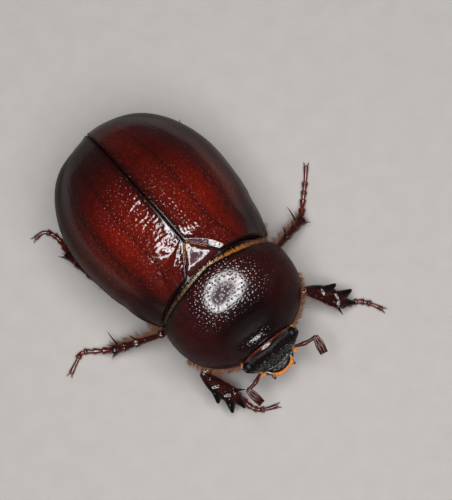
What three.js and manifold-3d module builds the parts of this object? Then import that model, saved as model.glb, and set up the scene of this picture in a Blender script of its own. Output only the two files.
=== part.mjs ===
// A hornless female rhinoceros beetle, life size, standing with its weight on all six feet.
// Millimetres, +Z up. The head points along -Y, the insect's left side is +X and the floor is z = 0.
// The origin is on the floor, under the middle of the box that holds the whole insect.
import * as THREE from "three";
import { mergeVertices } from "three/addons/utils/BufferGeometryUtils.js";
import Module from "manifold-3d";

const wasm = await Module();
wasm.setup();

const RAD = Math.PI / 180;

// ---- driving dimensions ---------------------------------------------------------------------------
const GAP = 0.05; // clearance kept between neighbouring plates
const HIDDEN_GAP = 0.17; // clearance between a shell and the trunk inside it
const PLATE = 0.6; // thickness of the wing cases and of the pronotum
const EDGE = {
  lowZ: 4.35, // the wing cases' side edge is lowest here and rises towards both ends
  lowY: 6,
  rise: 0.01,
  pronotumZ: 4.8, // the pronotum's side edge slopes down from its hind corner to its front corner
  pronotumY: -1,
  pronotumSlope: 0.09,
};
const ARCH = 2.2; // roundness of every shell's cross-section, 2 is an ellipse

const ELYTRA = {
  halfWidth: 6.95,
  widestY: 6.8,
  endY: 14.85,
  topZ: 10.6,
  topY: 5,
  baseY: 0.14, // front edge beside the scutellum
  shoulderSweep: 0.95, // how much further forward the shoulders reach
  shoulderCurve: 1.5,
  flare: 0.026, // how fast the sides narrow towards the shoulders
  baseDrop: 0.025, // how fast the back falls towards the shoulders
  backArch: 2.5,
};
const SCUTELLUM = { halfWidth: 1.42, frontY: 0.5, tipY: 2.35, sink: 0.1, thick: 0.5 };
const PRONOTUM = {
  halfWidth: 5.55,
  widestY: -2.4,
  hindY: -0.1,
  frontY: -6.95,
  cornerSweep: 0.95, // the hind corners lie this much further forward than the hind edge's middle
  cornerCurve: 1.2,
  sideArch: 2.3,
  sideReach: 4.88, // where the sides would meet, in front of the widest place
  hindNarrowing: 0.17,
  topZ: 10.15,
  topY: -1.5,
  frontDrop: 3.55,
  hindDrop: 0.11,
  dipDepth: 0.45, // the shallow dish behind the front edge
  dipY: -6.15,
  dipHalfWidth: 1.9,
  dipHalfLength: 0.75,
};
const BELLY_Z = 1.35; // lowest part of the trunk
const TRUNK_INSET = 0.2; // the trunk below the wing cases lies this far inside their edge
const TRUNK_SWEEP = 1.0; // how much further forward the sides of the trunk's joint reach
const THORAX_Y = [0.15, 5.2];
const ABDOMEN_END_Y = 14.35;
const PYGIDIUM = { y: 13.35, z: 4.6, tilt: 20 }; // the seam in front of the last plate passes through here
const PROTHORAX_Y = [-0.35, -6.55];
const PROTHORAX_BELLY_Z = 2.0;
const TURN = { degrees: -2.5, pivotY: -3 }; // the forebody is turned a little to the right

const NECK_Y = -6.6; // the head's back end, inside the collar of the pronotum
const HEAD = { backY: -7.02, eyeHalfWidth: 2.4, topZ: 6.15, lowZ: 2.6, brimY: -8.0 };
const CLYPEUS = { backHalfWidth: 1.95, frontHalfWidth: 1.05, frontY: -8.72, frontZ: 4.0, thick: 0.6 };
const EYE = { radius: 0.54, x: 2.18, y: -7.5, z: 4.7 };

// ---- solids ---------------------------------------------------------------------------------------
// A closed mesh from a list of points and a list of triangles, without the ones that a pole squashes flat.
function meshOf(points, triangles) {
  const raw = new THREE.BufferGeometry();
  raw.setAttribute("position", new THREE.Float32BufferAttribute(points.flatMap((p) => [p.x, p.y, p.z]), 3));
  raw.setIndex(triangles.flat());
  const merged = bare(raw);
  const kept = [];
  for (let i = 0; i < merged.index.count; i += 3) {
    const corner = [0, 1, 2].map((k) => merged.index.getX(i + k));
    if (new Set(corner).size === 3) kept.push(...corner);
  }
  merged.setIndex(kept);
  return merged;
}

// A geometry reduced to its places and triangles, with shared corners merged.
function bare(geometry) {
  const plain = new THREE.BufferGeometry();
  plain.setAttribute("position", geometry.getAttribute("position").clone());
  if (geometry.index) plain.setIndex(geometry.index.clone());
  return mergeVertices(plain, 1e-3);
}

function solidOf(geometry) {
  const solid = new wasm.Manifold(
    new wasm.Mesh({
      numProp: 3,
      vertProperties: new Float32Array(geometry.getAttribute("position").array),
      triVerts: new Uint32Array(geometry.index.array),
    }),
  );
  if (solid.volume() > 0) return solid;
  const flipped = geometry.clone();
  const order = Array.from(geometry.index.array);
  for (let i = 0; i < order.length; i += 3) [order[i + 1], order[i + 2]] = [order[i + 2], order[i + 1]];
  flipped.setIndex(order);
  return solidOf(flipped);
}

// The largest single body of a solid.
const largest = (solid) => solid.decompose().sort((a, b) => b.volume() - a.volume())[0];

function geometryOf(solid) {
  const mesh = largest(solid.simplify(0.02)).getMesh();
  const position = new Float32Array(mesh.numVert * 3);
  for (let i = 0; i < mesh.numVert; i++) {
    position.set(mesh.vertProperties.subarray(i * mesh.numProp, i * mesh.numProp + 3), i * 3);
  }
  const geometry = new THREE.BufferGeometry();
  geometry.setAttribute("position", new THREE.BufferAttribute(position, 3));
  geometry.setIndex(new THREE.BufferAttribute(new Uint32Array(mesh.triVerts), 1));
  return geometry;
}

const join = (first, ...others) => others.reduce((sum, solid) => sum.add(solid), first);

// What is left of a solid once its neighbours are cut out of it. Only the largest piece is kept.
function cutBy(solid, ...neighbours) {
  return largest(neighbours.reduce((left, other) => left.subtract(other), solid));
}

// A skin over rings of points, closed by a fan at each end.
function loft(rings) {
  const points = [];
  const triangles = [];
  const sides = rings[0].length;
  rings.forEach((ring) => points.push(...ring));
  for (let i = 0; i + 1 < rings.length; i++) {
    for (let j = 0; j < sides; j++) {
      const a = i * sides + j;
      const b = i * sides + ((j + 1) % sides);
      triangles.push([a, b, b + sides], [a, b + sides, a + sides]);
    }
  }
  const cap = (ring, offset, turned) => {
    const middle = ring.reduce((sum, p) => sum.add(p), new THREE.Vector3()).divideScalar(sides);
    points.push(middle);
    for (let j = 0; j < sides; j++) {
      const edge = [offset + j, offset + ((j + 1) % sides)];
      triangles.push(turned ? [edge[1], edge[0], points.length - 1] : [edge[0], edge[1], points.length - 1]);
    }
  };
  cap(rings[0], 0, true);
  cap(rings.at(-1), (rings.length - 1) * sides, false);
  return solidOf(meshOf(points, triangles));
}

// A plate between two surfaces, each a function of (u, v) from 0 to 1, walled along its four edges.
function plate(outer, inner, rows, columns) {
  const points = [];
  const triangles = [];
  const index = (layer, i, j) => layer * (rows + 1) * (columns + 1) + i * (columns + 1) + j;
  for (const surface of [outer, inner]) {
    for (let i = 0; i <= rows; i++) {
      for (let j = 0; j <= columns; j++) points.push(surface(i / rows, j / columns));
    }
  }
  const quad = (a, b, c, d) => triangles.push([a, b, c], [a, c, d]);
  for (let i = 0; i < rows; i++) {
    for (let j = 0; j < columns; j++) {
      quad(index(0, i, j), index(0, i, j + 1), index(0, i + 1, j + 1), index(0, i + 1, j));
      quad(index(1, i, j), index(1, i + 1, j), index(1, i + 1, j + 1), index(1, i, j + 1));
    }
  }
  for (let j = 0; j < columns; j++) {
    quad(index(0, 0, j), index(1, 0, j), index(1, 0, j + 1), index(0, 0, j + 1));
    quad(index(0, rows, j), index(0, rows, j + 1), index(1, rows, j + 1), index(1, rows, j));
  }
  for (let i = 0; i < rows; i++) {
    quad(index(0, i, 0), index(0, i + 1, 0), index(1, i + 1, 0), index(1, i, 0));
    quad(index(0, i, columns), index(1, i, columns), index(1, i + 1, columns), index(0, i + 1, columns));
  }
  return solidOf(meshOf(points, triangles));
}

// ---- the shells' surfaces --------------------------------------------------------------------------
const power = (base, exponent) => Math.sign(base) * Math.abs(base) ** exponent;
const mix = (a, b, t) => a + (b - a) * t;
const quarter = (t, n, m = n) => Math.max(0, 1 - Math.abs(t) ** n) ** (1 / m);

// A point of a shell's arch: angle 0 is the crown and 90 degrees is the side edge.
function archPoint(angle, y, halfWidth, crownZ, edgeZ) {
  return new THREE.Vector3(
    halfWidth * power(Math.sin(angle), 2 / ARCH),
    y,
    edgeZ + (crownZ - edgeZ) * Math.max(0, Math.cos(angle)) ** (2 / ARCH),
  );
}

const elytraEdge = (y) => EDGE.lowZ + EDGE.rise * (y - EDGE.lowY) ** 2;
const pronotumEdge = (y) => EDGE.pronotumZ + EDGE.pronotumSlope * (y - EDGE.pronotumY);

function elytraHalfWidth(y, inset = 0) {
  const behind = y - ELYTRA.widestY;
  if (behind < 0) return ELYTRA.halfWidth - inset - ELYTRA.flare * behind ** 2;
  return (ELYTRA.halfWidth - inset) * quarter(behind / (ELYTRA.endY - inset - ELYTRA.widestY), 2);
}

function elytraTop(y, inset = 0) {
  const behind = y - ELYTRA.topY;
  if (behind < 0) return ELYTRA.topZ - inset - ELYTRA.baseDrop * behind ** 2;
  const reach = ELYTRA.endY - inset - ELYTRA.topY;
  const edgeZ = elytraEdge(ELYTRA.endY);
  return edgeZ + (ELYTRA.topZ - inset - edgeZ) * quarter(behind / reach, ELYTRA.backArch, ARCH);
}

function scutellumHalfWidth(y) {
  return SCUTELLUM.halfWidth * Math.max(0, (SCUTELLUM.tipY - y) / (SCUTELLUM.tipY - SCUTELLUM.frontY));
}

function pronotumHalfWidth(y, inset = 0) {
  const ahead = PRONOTUM.widestY - y;
  if (ahead < 0) return PRONOTUM.halfWidth - inset - PRONOTUM.hindNarrowing * ahead ** 2;
  return PRONOTUM.halfWidth * quarter(ahead / PRONOTUM.sideReach, PRONOTUM.sideArch) - inset;
}

function pronotumTop(y, inset = 0) {
  const ahead = PRONOTUM.topY - y;
  if (ahead < 0) return PRONOTUM.topZ - inset - PRONOTUM.hindDrop * ahead ** 2;
  const reach = PRONOTUM.topY - PRONOTUM.frontY;
  return PRONOTUM.topZ - inset - PRONOTUM.frontDrop * (ahead / reach) ** 2;
}

function pronotumDip(x, y) {
  const across = x / PRONOTUM.dipHalfWidth;
  const along = (y - PRONOTUM.dipY) / PRONOTUM.dipHalfLength;
  return PRONOTUM.dipDepth * Math.exp(-(across ** 2) - along ** 2);
}

// ---- shell plates ----------------------------------------------------------------------------------
// One wing case: u runs from its base to its tip, v from the seam between the two to the side edge.
function elytronSurface(side, inset) {
  return (u, v) => {
    const endY = ELYTRA.endY - inset;
    const baseY = ELYTRA.baseY - ELYTRA.shoulderSweep * Math.sin(v * 90 * RAD) ** ELYTRA.shoulderCurve;
    const y = mix(baseY, endY, Math.sin(u * 90 * RAD) ** 1.2);
    const halfWidth = Math.max(elytraHalfWidth(y, inset), 1e-4);
    const seam = GAP / 2 + (y < SCUTELLUM.tipY ? scutellumHalfWidth(y) + GAP / 2 : 0);
    const seamAngle = Math.asin(Math.min(1, seam / halfWidth) ** (ARCH / 2));
    const crownZ = Math.max(elytraTop(y, inset), elytraEdge(y));
    const point = archPoint(mix(seamAngle, 90 * RAD, v), y, halfWidth, crownZ, elytraEdge(y));
    point.x *= side;
    return point;
  };
}

const elytron = (side) => plate(elytronSurface(side, 0), elytronSurface(side, PLATE), 15, 9);

function scutellumPlate() {
  const surface = (inset) => (u, v) => {
    const y = mix(SCUTELLUM.frontY - 0.35, SCUTELLUM.tipY - 0.15, u);
    const x = scutellumHalfWidth(Math.max(y, SCUTELLUM.frontY)) * mix(-1, 1, v);
    const bulge = 1 - (x / elytraHalfWidth(y)) ** 2;
    const z = mix(elytraEdge(y), elytraTop(y), bulge ** (1 / ARCH));
    return new THREE.Vector3(x, y, z - SCUTELLUM.sink - inset);
  };
  return plate(surface(0), surface(SCUTELLUM.thick), 4, 4);
}

// The pronotum: u runs from its hind edge to its front edge, v from the right side over to the left.
function pronotumSurface(inset) {
  return (u, v) => {
    const angle = mix(-90, 90, v) * RAD;
    const sweep = PRONOTUM.cornerSweep * Math.abs(Math.sin(angle)) ** PRONOTUM.cornerCurve;
    const y = mix(PRONOTUM.hindY - sweep, PRONOTUM.frontY, u);
    const point = archPoint(angle, y, pronotumHalfWidth(y, inset), pronotumTop(y, inset), pronotumEdge(y));
    point.z -= pronotumDip(point.x, y) * Math.cos(angle);
    return point;
  };
}

const pronotumPlate = () => plate(pronotumSurface(0), pronotumSurface(PLATE), 9, 16);

// ---- trunk under the shells ------------------------------------------------------------------------
// A ring of the trunk: a rounded belly, a step under the shell's edge, and a back that fills the shell.
// A share of the sweep moves its sides forward, so that both trunks meet like the shells above them.
function trunkRing(y, sweep, { halfWidthAt, topAt, edgeAt }, bellyZ) {
  const ring = [];
  const steps = 7;
  const yAt = (angle) => y - sweep * TRUNK_SWEEP * Math.sin(angle) ** 2;
  for (let i = 0; i <= steps; i++) {
    const angle = mix(-90, 90, i / steps) * RAD;
    const outer = Math.max(halfWidthAt(yAt(angle), TRUNK_INSET), 0.05);
    const z = mix(edgeAt(yAt(angle)) - GAP, bellyZ, Math.cos(angle));
    ring.push(new THREE.Vector3(outer * Math.sin(angle), yAt(angle), z));
  }
  for (let i = 0; i <= steps; i++) {
    const angle = mix(90, -90, i / steps) * RAD;
    const back = Math.max(halfWidthAt(yAt(angle), PLATE + HIDDEN_GAP), 0.03);
    const stepZ = edgeAt(yAt(angle)) - GAP;
    const crown = Math.max(topAt(yAt(angle), PLATE + HIDDEN_GAP), stepZ + 0.05);
    ring.push(archPoint(angle, yAt(angle), back, crown, stepZ));
  }
  return ring;
}

const range = (from, to, count) => Array.from({ length: count }, (_, i) => mix(from, to, i / (count - 1)));

function bellyLine(y) {
  const rise = Math.max(0, (y - 5.5) / (ABDOMEN_END_Y - 5.5));
  return BELLY_Z + 2.6 * rise ** 2.4;
}

const HIND_SHELL = { halfWidthAt: elytraHalfWidth, topAt: elytraTop, edgeAt: elytraEdge };
const FORE_SHELL = { halfWidthAt: pronotumHalfWidth, topAt: pronotumTop, edgeAt: pronotumEdge };

function hindTrunk(fromY, toY, sections) {
  return loft(
    range(0, 1, sections).map((t) => {
      const y = mix(fromY, toY, Math.sin(t * 90 * RAD));
      return trunkRing(y, Math.max(0, 1 - t * 3), HIND_SHELL, bellyLine(y));
    }),
  );
}

// The bowl-shaped underside of the forebody narrows towards the front edge of the pronotum.
function forebodyTrunk() {
  const rings = range(0, 1, 8).map((t) => {
    const belly = PROTHORAX_BELLY_Z + 0.8 * t ** 3;
    return trunkRing(mix(...PROTHORAX_Y, t), 1 - t, FORE_SHELL, belly);
  });
  rings.flat().forEach((point) => {
    const edgeZ = pronotumEdge(point.y);
    const share = Math.max(0, (point.z - edgeZ) / (pronotumTop(point.y) - edgeZ));
    point.z -= pronotumDip(point.x, point.y) * share;
  });
  return loft(rings);
}

// ---- limbs ----------------------------------------------------------------------------------------
const vector = (x, y, z) => new THREE.Vector3(x, y, z);

// A smooth closed body along a line of points. halfWide and halfThick give its half sizes at t from 0 to 1;
// halfWide may give two numbers, one for each edge. `across` is the direction of its width.
function limb(line, across, halfWide, halfThick, { steps = 10, sides = 8, grow = 0 } = {}) {
  const curve = line.length > 2 ? new THREE.CatmullRomCurve3(line) : new THREE.LineCurve3(...line);
  const rings = [];
  for (let i = 0; i <= steps; i++) {
    const t = i / steps;
    const along = curve.getTangentAt(t).normalize();
    const wide = across.clone().addScaledVector(along, -across.dot(along)).normalize();
    const thick = new THREE.Vector3().crossVectors(along, wide);
    const centre = curve.getPointAt(t);
    if (i === 0) centre.addScaledVector(along, -grow);
    if (i === steps) centre.addScaledVector(along, grow);
    const [positive, negative] = [halfWide(t)].flat();
    const halves = [positive + grow, (negative ?? positive) + grow];
    rings.push(
      range(0, sides - 1, sides).map((corner) => {
        const c = Math.cos(((corner + 0.5) / sides) * 360 * RAD);
        const s = Math.sin(((corner + 0.5) / sides) * 360 * RAD);
        return centre
          .clone()
          .addScaledVector(wide, c * (c > 0 ? halves[0] : halves[1]))
          .addScaledVector(thick, s * (halfThick(t) + grow));
      }),
    );
  }
  return loft(rings);
}

const swell = (end, middle) => (t) => mix(end, middle, Math.sin(t * Math.PI) ** 0.7);
const taper = (from, to) => (t) => mix(from, to, t);

// A spine: a short blunt cone from a place on a limb.
function spine(from, to, base = 0.2, grow = 0) {
  const across = Math.abs(to.z - from.z) > 0.9 * from.distanceTo(to) ? vector(1, 0, 0) : vector(0, 0, 1);
  const half = taper(base, base * 0.3);
  return limb([from, to], across, half, half, { steps: 1, sides: 4, grow });
}

// ---- legs -----------------------------------------------------------------------------------------
// Angles are in degrees: 0 points straight out to the side, 90 to the rear and -90 to the front.
// `thigh` gives the half width and half thickness of the femur at its fattest.
const LEG_SIZES = {
  front: { hip: [1.95, -4.5, 2.2], coxa: 0.8, thigh: [0.62, 0.45], femur: 3.2, tibia: 4.25, tarsus: 3.15 },
  middle: { hip: [2.3, 0.6, 1.7], coxa: 0.72, thigh: [0.62, 0.42], femur: 3.8, tibia: 4.2, tarsus: 4.4 },
  hind: { hip: [2.7, 4.4, 1.7], coxa: 0.75, thigh: [0.8, 0.45], femur: 3.9, tibia: 5.5, tarsus: 3.7 },
};
const STANCE = {
  front_left: { femur: -16, kneeZ: 2.6, tibia: -50, ankleZ: 0.8, tarsus: [-8, -26, -46, -58, -64] },
  front_right: { femur: -17, kneeZ: 2.6, tibia: -104, ankleZ: 0.8, tarsus: [-96, -104, -128, -150, -158] },
  middle_left: { femur: -40, kneeZ: 2.9, tibia: 12, ankleZ: 0.75, tarsus: [45, 43, 42, 43, 46] },
  middle_right: { femur: -22, kneeZ: 2.5, tibia: 27, ankleZ: 0.75, tarsus: [39, 39, 34, -18, -24] },
  hind_left: { femur: 22, kneeZ: 2.6, tibia: 92, ankleZ: 0.75, tarsus: [105, 110, 120, 132, 140] },
  hind_right: { femur: -7, kneeZ: 2.6, tibia: 84, ankleZ: 0.75, tarsus: [103, 95, 80, 55, 5] },
};
const FOOT = { halfThick: 0.25, segments: 5, pressed: 0.07 };

const heading = (degrees) => vector(Math.cos(degrees * RAD), Math.sin(degrees * RAD), 0);

// The end of a straight limb piece of a given length that starts at `from` and ends at height z.
function reach(from, degrees, length, z) {
  const flat = Math.sqrt(length ** 2 - (z - from.z) ** 2);
  const end = from.clone().addScaledVector(heading(degrees), flat);
  end.z = z;
  return end;
}

// The line of a foot: it comes down to the floor in its first two segments and turns at each joint.
function footLine(ankle, headings, length) {
  const line = [ankle.clone()];
  for (const [i, degrees] of headings.entries()) {
    const next = line.at(-1).clone().addScaledVector(heading(degrees), length / headings.length);
    next.z = i === 0 ? 0.5 : FOOT.halfThick - FOOT.pressed;
    line.push(next);
  }
  return line;
}

// Every leg is worked out as a left one; `side` mirrors it.
function legPoints(name, side) {
  const size = LEG_SIZES[name.split("_")[0]];
  const stance = STANCE[name];
  const hip = vector(...size.hip);
  const knee = reach(hip, stance.femur, size.femur, stance.kneeZ);
  const ankle = reach(knee, stance.tibia, size.tibia, stance.ankleZ);
  const socket = vector(...BLADE.socket, 0).applyMatrix4(bladeFrame({ knee, ankle }, 1));
  const line = footLine(name.startsWith("front") ? socket : ankle, stance.tarsus, size.tarsus);
  const mirror = (p) => vector(p.x * side, p.y, p.z);
  return { size, hip: mirror(hip), knee: mirror(knee), ankle: mirror(ankle), foot: line.map(mirror) };
}

function coxa(points, side, grow = 0) {
  const inner = points.hip.clone().add(vector(-1.5 * side, 0.25, 0.35));
  const outer = points.hip.clone().add(vector(0.35 * side, 0, -0.05));
  const half = swell(0.25, points.size.coxa);
  return limb([inner, outer], vector(0, 1, 0), half, half, { steps: 5, sides: 7, grow });
}

function femur(points, grow = 0) {
  const [wide, thick] = points.size.thigh;
  const shape = { steps: 6, sides: 7, grow };
  return limb([points.hip, points.knee], vector(0, 1, 0.2), swell(0.33, wide), swell(0.3, thick), shape);
}

// A front shin is a flat digging blade with three teeth on its outer edge and a spur inside its end.
const BLADE = {
  thick: 0.5,
  bevel: 0.12,
  outline: [
    [-0.15, -0.32],
    [1.8, -0.45],
    [2.85, -0.66],
    [3.3, -1.02], // spur
    [3.35, -0.62],
    [3.7, -0.55],
    [4.3, 0.05], // first tooth, at the tip
    [3.75, 0.22],
    [3.82, 1.0], // second tooth
    [3.2, 0.5],
    [2.72, 0.55],
    [2.4, 1.18], // third tooth
    [1.4, 0.88],
    [0.2, 0.62],
    [-0.15, 0.4],
  ],
  socket: [3.55, -0.3], // where the foot is held
};

function bladeFrame(points, side) {
  const along = points.ankle.clone().sub(points.knee).normalize();
  const outward = vector(along.y, -along.x, 0).multiplyScalar(-side).normalize();
  return new THREE.Matrix4()
    .makeBasis(along, outward, new THREE.Vector3().crossVectors(along, outward))
    .setPosition(points.knee);
}

function digger(points, side, grow) {
  const corners = BLADE.outline.map(([along, outward]) => new THREE.Vector2(along, outward));
  const blade = new THREE.ExtrudeGeometry(new THREE.Shape(corners), {
    depth: BLADE.thick - 2 * BLADE.bevel,
    bevelSize: BLADE.bevel + grow,
    bevelThickness: BLADE.bevel + grow,
    bevelOffset: -BLADE.bevel,
    bevelSegments: 1,
  });
  blade.translate(0, 0, BLADE.bevel - BLADE.thick / 2);
  return solidOf(bare(blade.applyMatrix4(bladeFrame(points, side))));
}

// The other shins flare towards the ankle, with a ridge of spines half way and a crown of spines at the end.
function shin(points, side, grow) {
  const { knee, ankle } = points;
  const half = (t) => mix(0.3, 0.52, t ** 1.2) + 0.13 * Math.exp(-(((t - 0.52) / 0.06) ** 2));
  const body = limb([knee, ankle], vector(0, 0, 1), half, half, { steps: 7, sides: 7, grow });
  const along = ankle.clone().sub(knee).normalize();
  const level = vector(-along.y, along.x, 0).normalize();
  const at = (t, outward, rise) => {
    const place = knee.clone().lerp(ankle, t);
    return place.addScaledVector(level, outward).add(vector(0, 0, rise));
  };
  const crown = [
    [0.88, 0.3, 0.05, 1.06, 1.6, 0.05], // the long spur
    [0.95, 0.36, -0.1, 1.14, 0.6, -0.15],
    [0.94, -0.3, 0.12, 1.08, -0.68, 0.2],
    [0.5, 0.3, 0.12, 0.6, 0.74, 0.15],
  ];
  const spikes = crown.map(([t, outward, rise, tipT, tipOutward, tipRise]) =>
    spine(at(t, outward * side, rise), at(tipT, tipOutward * side, tipRise), 0.17, grow),
  );
  return join(body, ...spikes);
}

function tibia(name, points, side, grow = 0) {
  const body = name.startsWith("front") ? digger(points, side, grow) : shin(points, side, grow);
  return cutBy(body, femur(points, GAP));
}

// A foot of five flared segments with two claws, pressed a little flat where it rests on the floor.
function tarsus(points, grownShin) {
  const { foot } = points;
  const half = (t) => FOOT.halfThick * (1 + 0.14 * Math.cos((t * FOOT.segments + 0.5) * 360 * RAD));
  const body = limb(foot, vector(0, 0, 1), half, half, { steps: FOOT.segments * 2, sides: 6 });
  const tip = foot.at(-1);
  const ahead = tip.clone().sub(foot.at(-2)).normalize();
  const level = vector(-ahead.y, ahead.x, 0);
  const claws = [-1, 1].map((edge) => {
    const root = tip.clone().addScaledVector(ahead, -0.12);
    const knuckle = tip.clone().addScaledVector(ahead, 0.28).addScaledVector(level, 0.2 * edge);
    const point = tip.clone().addScaledVector(ahead, 0.52).addScaledVector(level, 0.38 * edge);
    knuckle.z += 0.1;
    point.z = 0.08;
    const clawHalf = taper(0.2, 0.07);
    return limb([root, knuckle, point], vector(0, 0, 1), clawHalf, clawHalf, { steps: 2, sides: 4 });
  });
  const flattened = (place) => {
    place[2] = Math.max(place[2], 0);
  };
  return cutBy(join(body.warp(flattened), ...claws), grownShin);
}

// ---- head -----------------------------------------------------------------------------------------
function headHalfWidth(y) {
  const t = (HEAD.backY - y) / (HEAD.backY - CLYPEUS.frontY);
  const curve = quarter(t, 2.4, 1.5);
  return mix(CLYPEUS.frontHalfWidth, HEAD.eyeHalfWidth, curve);
}

function headTop(y) {
  const t = (HEAD.backY - y) / (HEAD.backY - CLYPEUS.frontY);
  const ridge = 0.22 * Math.exp(-(((t - 0.22) / 0.12) ** 2));
  return mix(HEAD.topZ, CLYPEUS.frontZ, t ** 1.15) + ridge;
}

function headRing(y, lowZ) {
  const halfWidth = headHalfWidth(y);
  const topZ = headTop(y);
  const sideZ = mix(topZ, lowZ, 0.5);
  return range(0, 1 - 1 / 12, 12).map((turn) => {
    const s = Math.sin(turn * 360 * RAD);
    const c = Math.cos(turn * 360 * RAD);
    const rise = c > 0 ? topZ - sideZ : sideZ - lowZ;
    return vector(halfWidth * power(s, 2 / 2.6), y, sideZ + rise * power(c, 2 / 2.6));
  });
}

const eyeSolid = (side, grow = 0) => {
  const centre = vector(EYE.x * side, EYE.y, EYE.z);
  const half = (t) => (EYE.radius + grow) * Math.sqrt(Math.max(0.004, 1 - (2 * t - 1) ** 2));
  const ends = [-1, 1].map((end) => centre.clone().add(vector(0, end * (EYE.radius + grow), 0)));
  return limb(ends, vector(0, 0, 1), half, half, { steps: 6, sides: 10 });
};

function headSolid() {
  const rings = range(HEAD.backY, HEAD.brimY + GAP / 2, 5).map((y) => {
    const t = (HEAD.backY - y) / (HEAD.backY - HEAD.brimY);
    return headRing(y, mix(HEAD.lowZ, 2.75, t));
  });
  const neck = [NECK_Y, HEAD.backY - 0.02].map((y) =>
    headRing(HEAD.backY, HEAD.lowZ).map((p) => vector(p.x * 0.6, y, mix(4.2, p.z, 0.6))),
  );
  return loft([...neck, ...rings]);
}

// The face shield in front of the brow: a sloping plate with a slightly raised front rim.
function clypeusSolid() {
  const rings = range(HEAD.brimY - GAP / 2, CLYPEUS.frontY, 5).map((y) => {
    const t = (HEAD.brimY - y) / (HEAD.brimY - CLYPEUS.frontY);
    return headRing(y, mix(3.1, headTop(CLYPEUS.frontY) - CLYPEUS.thick, t));
  });
  return loft(rings);
}

function labrumSolid() {
  const ends = [vector(-0.75, -8.62, 3.02), vector(0.75, -8.62, 3.02)];
  return limb(ends, vector(0, -1, 0), swell(0.22, 0.5), swell(0.2, 0.25), { steps: 6, sides: 7 });
}

function mandibleSolid(side, grow = 0) {
  const line = [
    [1.15, -7.75, 3.0],
    [1.28, -8.4, 3.0],
    [0.98, -8.98, 2.95],
  ].map(([x, y, z]) => vector(x * side, y, z));
  return limb(line, vector(1, 0, 0), taper(0.4, 0.25), taper(0.28, 0.25), { steps: 4, sides: 7, grow });
}

function palpSolid(side) {
  const line = [
    [0.62, -7.9, 2.4],
    [0.85, -8.6, 2.2],
    [0.95, -9.2, 2.1],
  ].map(([x, y, z]) => vector(x * side, y, z));
  return limb(line, vector(1, 0, 0), swell(0.22, 0.28), swell(0.22, 0.28), { steps: 5, sides: 6 });
}

// Feelers: a clubbed root, a thin beaded stalk out to the elbow, and a club of three leaves bent forward.
const FEELER = {
  left: { root: [1.75, -8.3, 3.15], elbow: [3.4, -8.72, 3.2], tip: [3.15, -10.08, 2.75] },
  right: { root: [-1.75, -8.3, 3.15], elbow: [-3.25, -8.62, 3.2], tip: [-3.05, -10.12, 2.75] },
  halfThick: 0.25,
};

function feelerStalk(sideName) {
  const [root, elbow] = [FEELER[sideName].root, FEELER[sideName].elbow].map((p) => vector(...p));
  const bend = root.clone().lerp(elbow, 0.5).add(vector(0, -0.12, 0.12));
  const half = (t) => FEELER.halfThick * (1 + 0.35 * Math.exp(-(((t - 0.22) / 0.14) ** 2)));
  return limb([root, bend, elbow], vector(0, 0, 1), half, half, { steps: 7, sides: 6 });
}

function feelerClub(sideName, stalk) {
  const [elbow, tip] = [FEELER[sideName].elbow, FEELER[sideName].tip].map((p) => vector(...p));
  const start = elbow.clone().lerp(tip, -0.06);
  const shape = { steps: 4, sides: 7 };
  const body = limb([start, tip], vector(1, 0, 0), swell(0.25, 0.29), swell(0.2, 0.36), shape);
  return cutBy(body, stalk);
}

// ---- colours --------------------------------------------------------------------------------------
function finish(color, roughness) {
  return new THREE.MeshStandardMaterial({ color, roughness, metalness: 0 });
}

const FINISHES = {
  wingCase: finish(0x5c130a, 0.2),
  pronotum: finish(0x2e0a0a, 0.25),
  head: finish(0x14100f, 0.45),
  leg: finish(0x2a0b08, 0.25),
  foot: finish(0x3f120b, 0.25),
  underside: finish(0x3a140c, 0.4),
  eye: finish(0x0a0709, 0.1),
  feeler: finish(0x4a160d, 0.3),
};

// ---- assembly -------------------------------------------------------------------------------------
const beetle = new THREE.Group();
const hindbody = new THREE.Group();
const forebody = new THREE.Group();
beetle.add(hindbody, forebody);

function add(group, name, solid, material) {
  const mesh = new THREE.Mesh(geometryOf(solid), material);
  mesh.name = name;
  group.add(mesh);
}

const SIDES = [
  ["left", 1],
  ["right", -1],
];
const grown = {}; // the hip and thigh of each leg with clearance added, to be cut out of the trunk
for (const pair of Object.keys(LEG_SIZES)) {
  for (const [sideName, side] of SIDES) {
    const name = `${pair}_${sideName}`;
    const group = pair === "front" ? forebody : hindbody;
    const points = legPoints(name, side);
    const hip = coxa(points, side);
    grown[name] = [coxa(points, side, GAP), femur(points, GAP)];
    add(group, `coxa_${name}`, hip, FINISHES.leg);
    add(group, `femur_${name}`, cutBy(femur(points), grown[name][0]), FINISHES.leg);
    add(group, `tibia_${name}`, tibia(name, points, side), FINISHES.leg);
    add(group, `tarsus_${name}`, tarsus(points, tibia(name, points, side, GAP)), FINISHES.foot);
  }
}

function legsOf(...pairs) {
  return pairs.flatMap((pair) => SIDES.flatMap(([sideName]) => grown[`${pair}_${sideName}`]));
}

for (const [sideName, side] of SIDES) {
  add(hindbody, `elytron_${sideName}`, elytron(side), FINISHES.wingCase);
}
add(hindbody, "scutellum", scutellumPlate(), FINISHES.pronotum);

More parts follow.
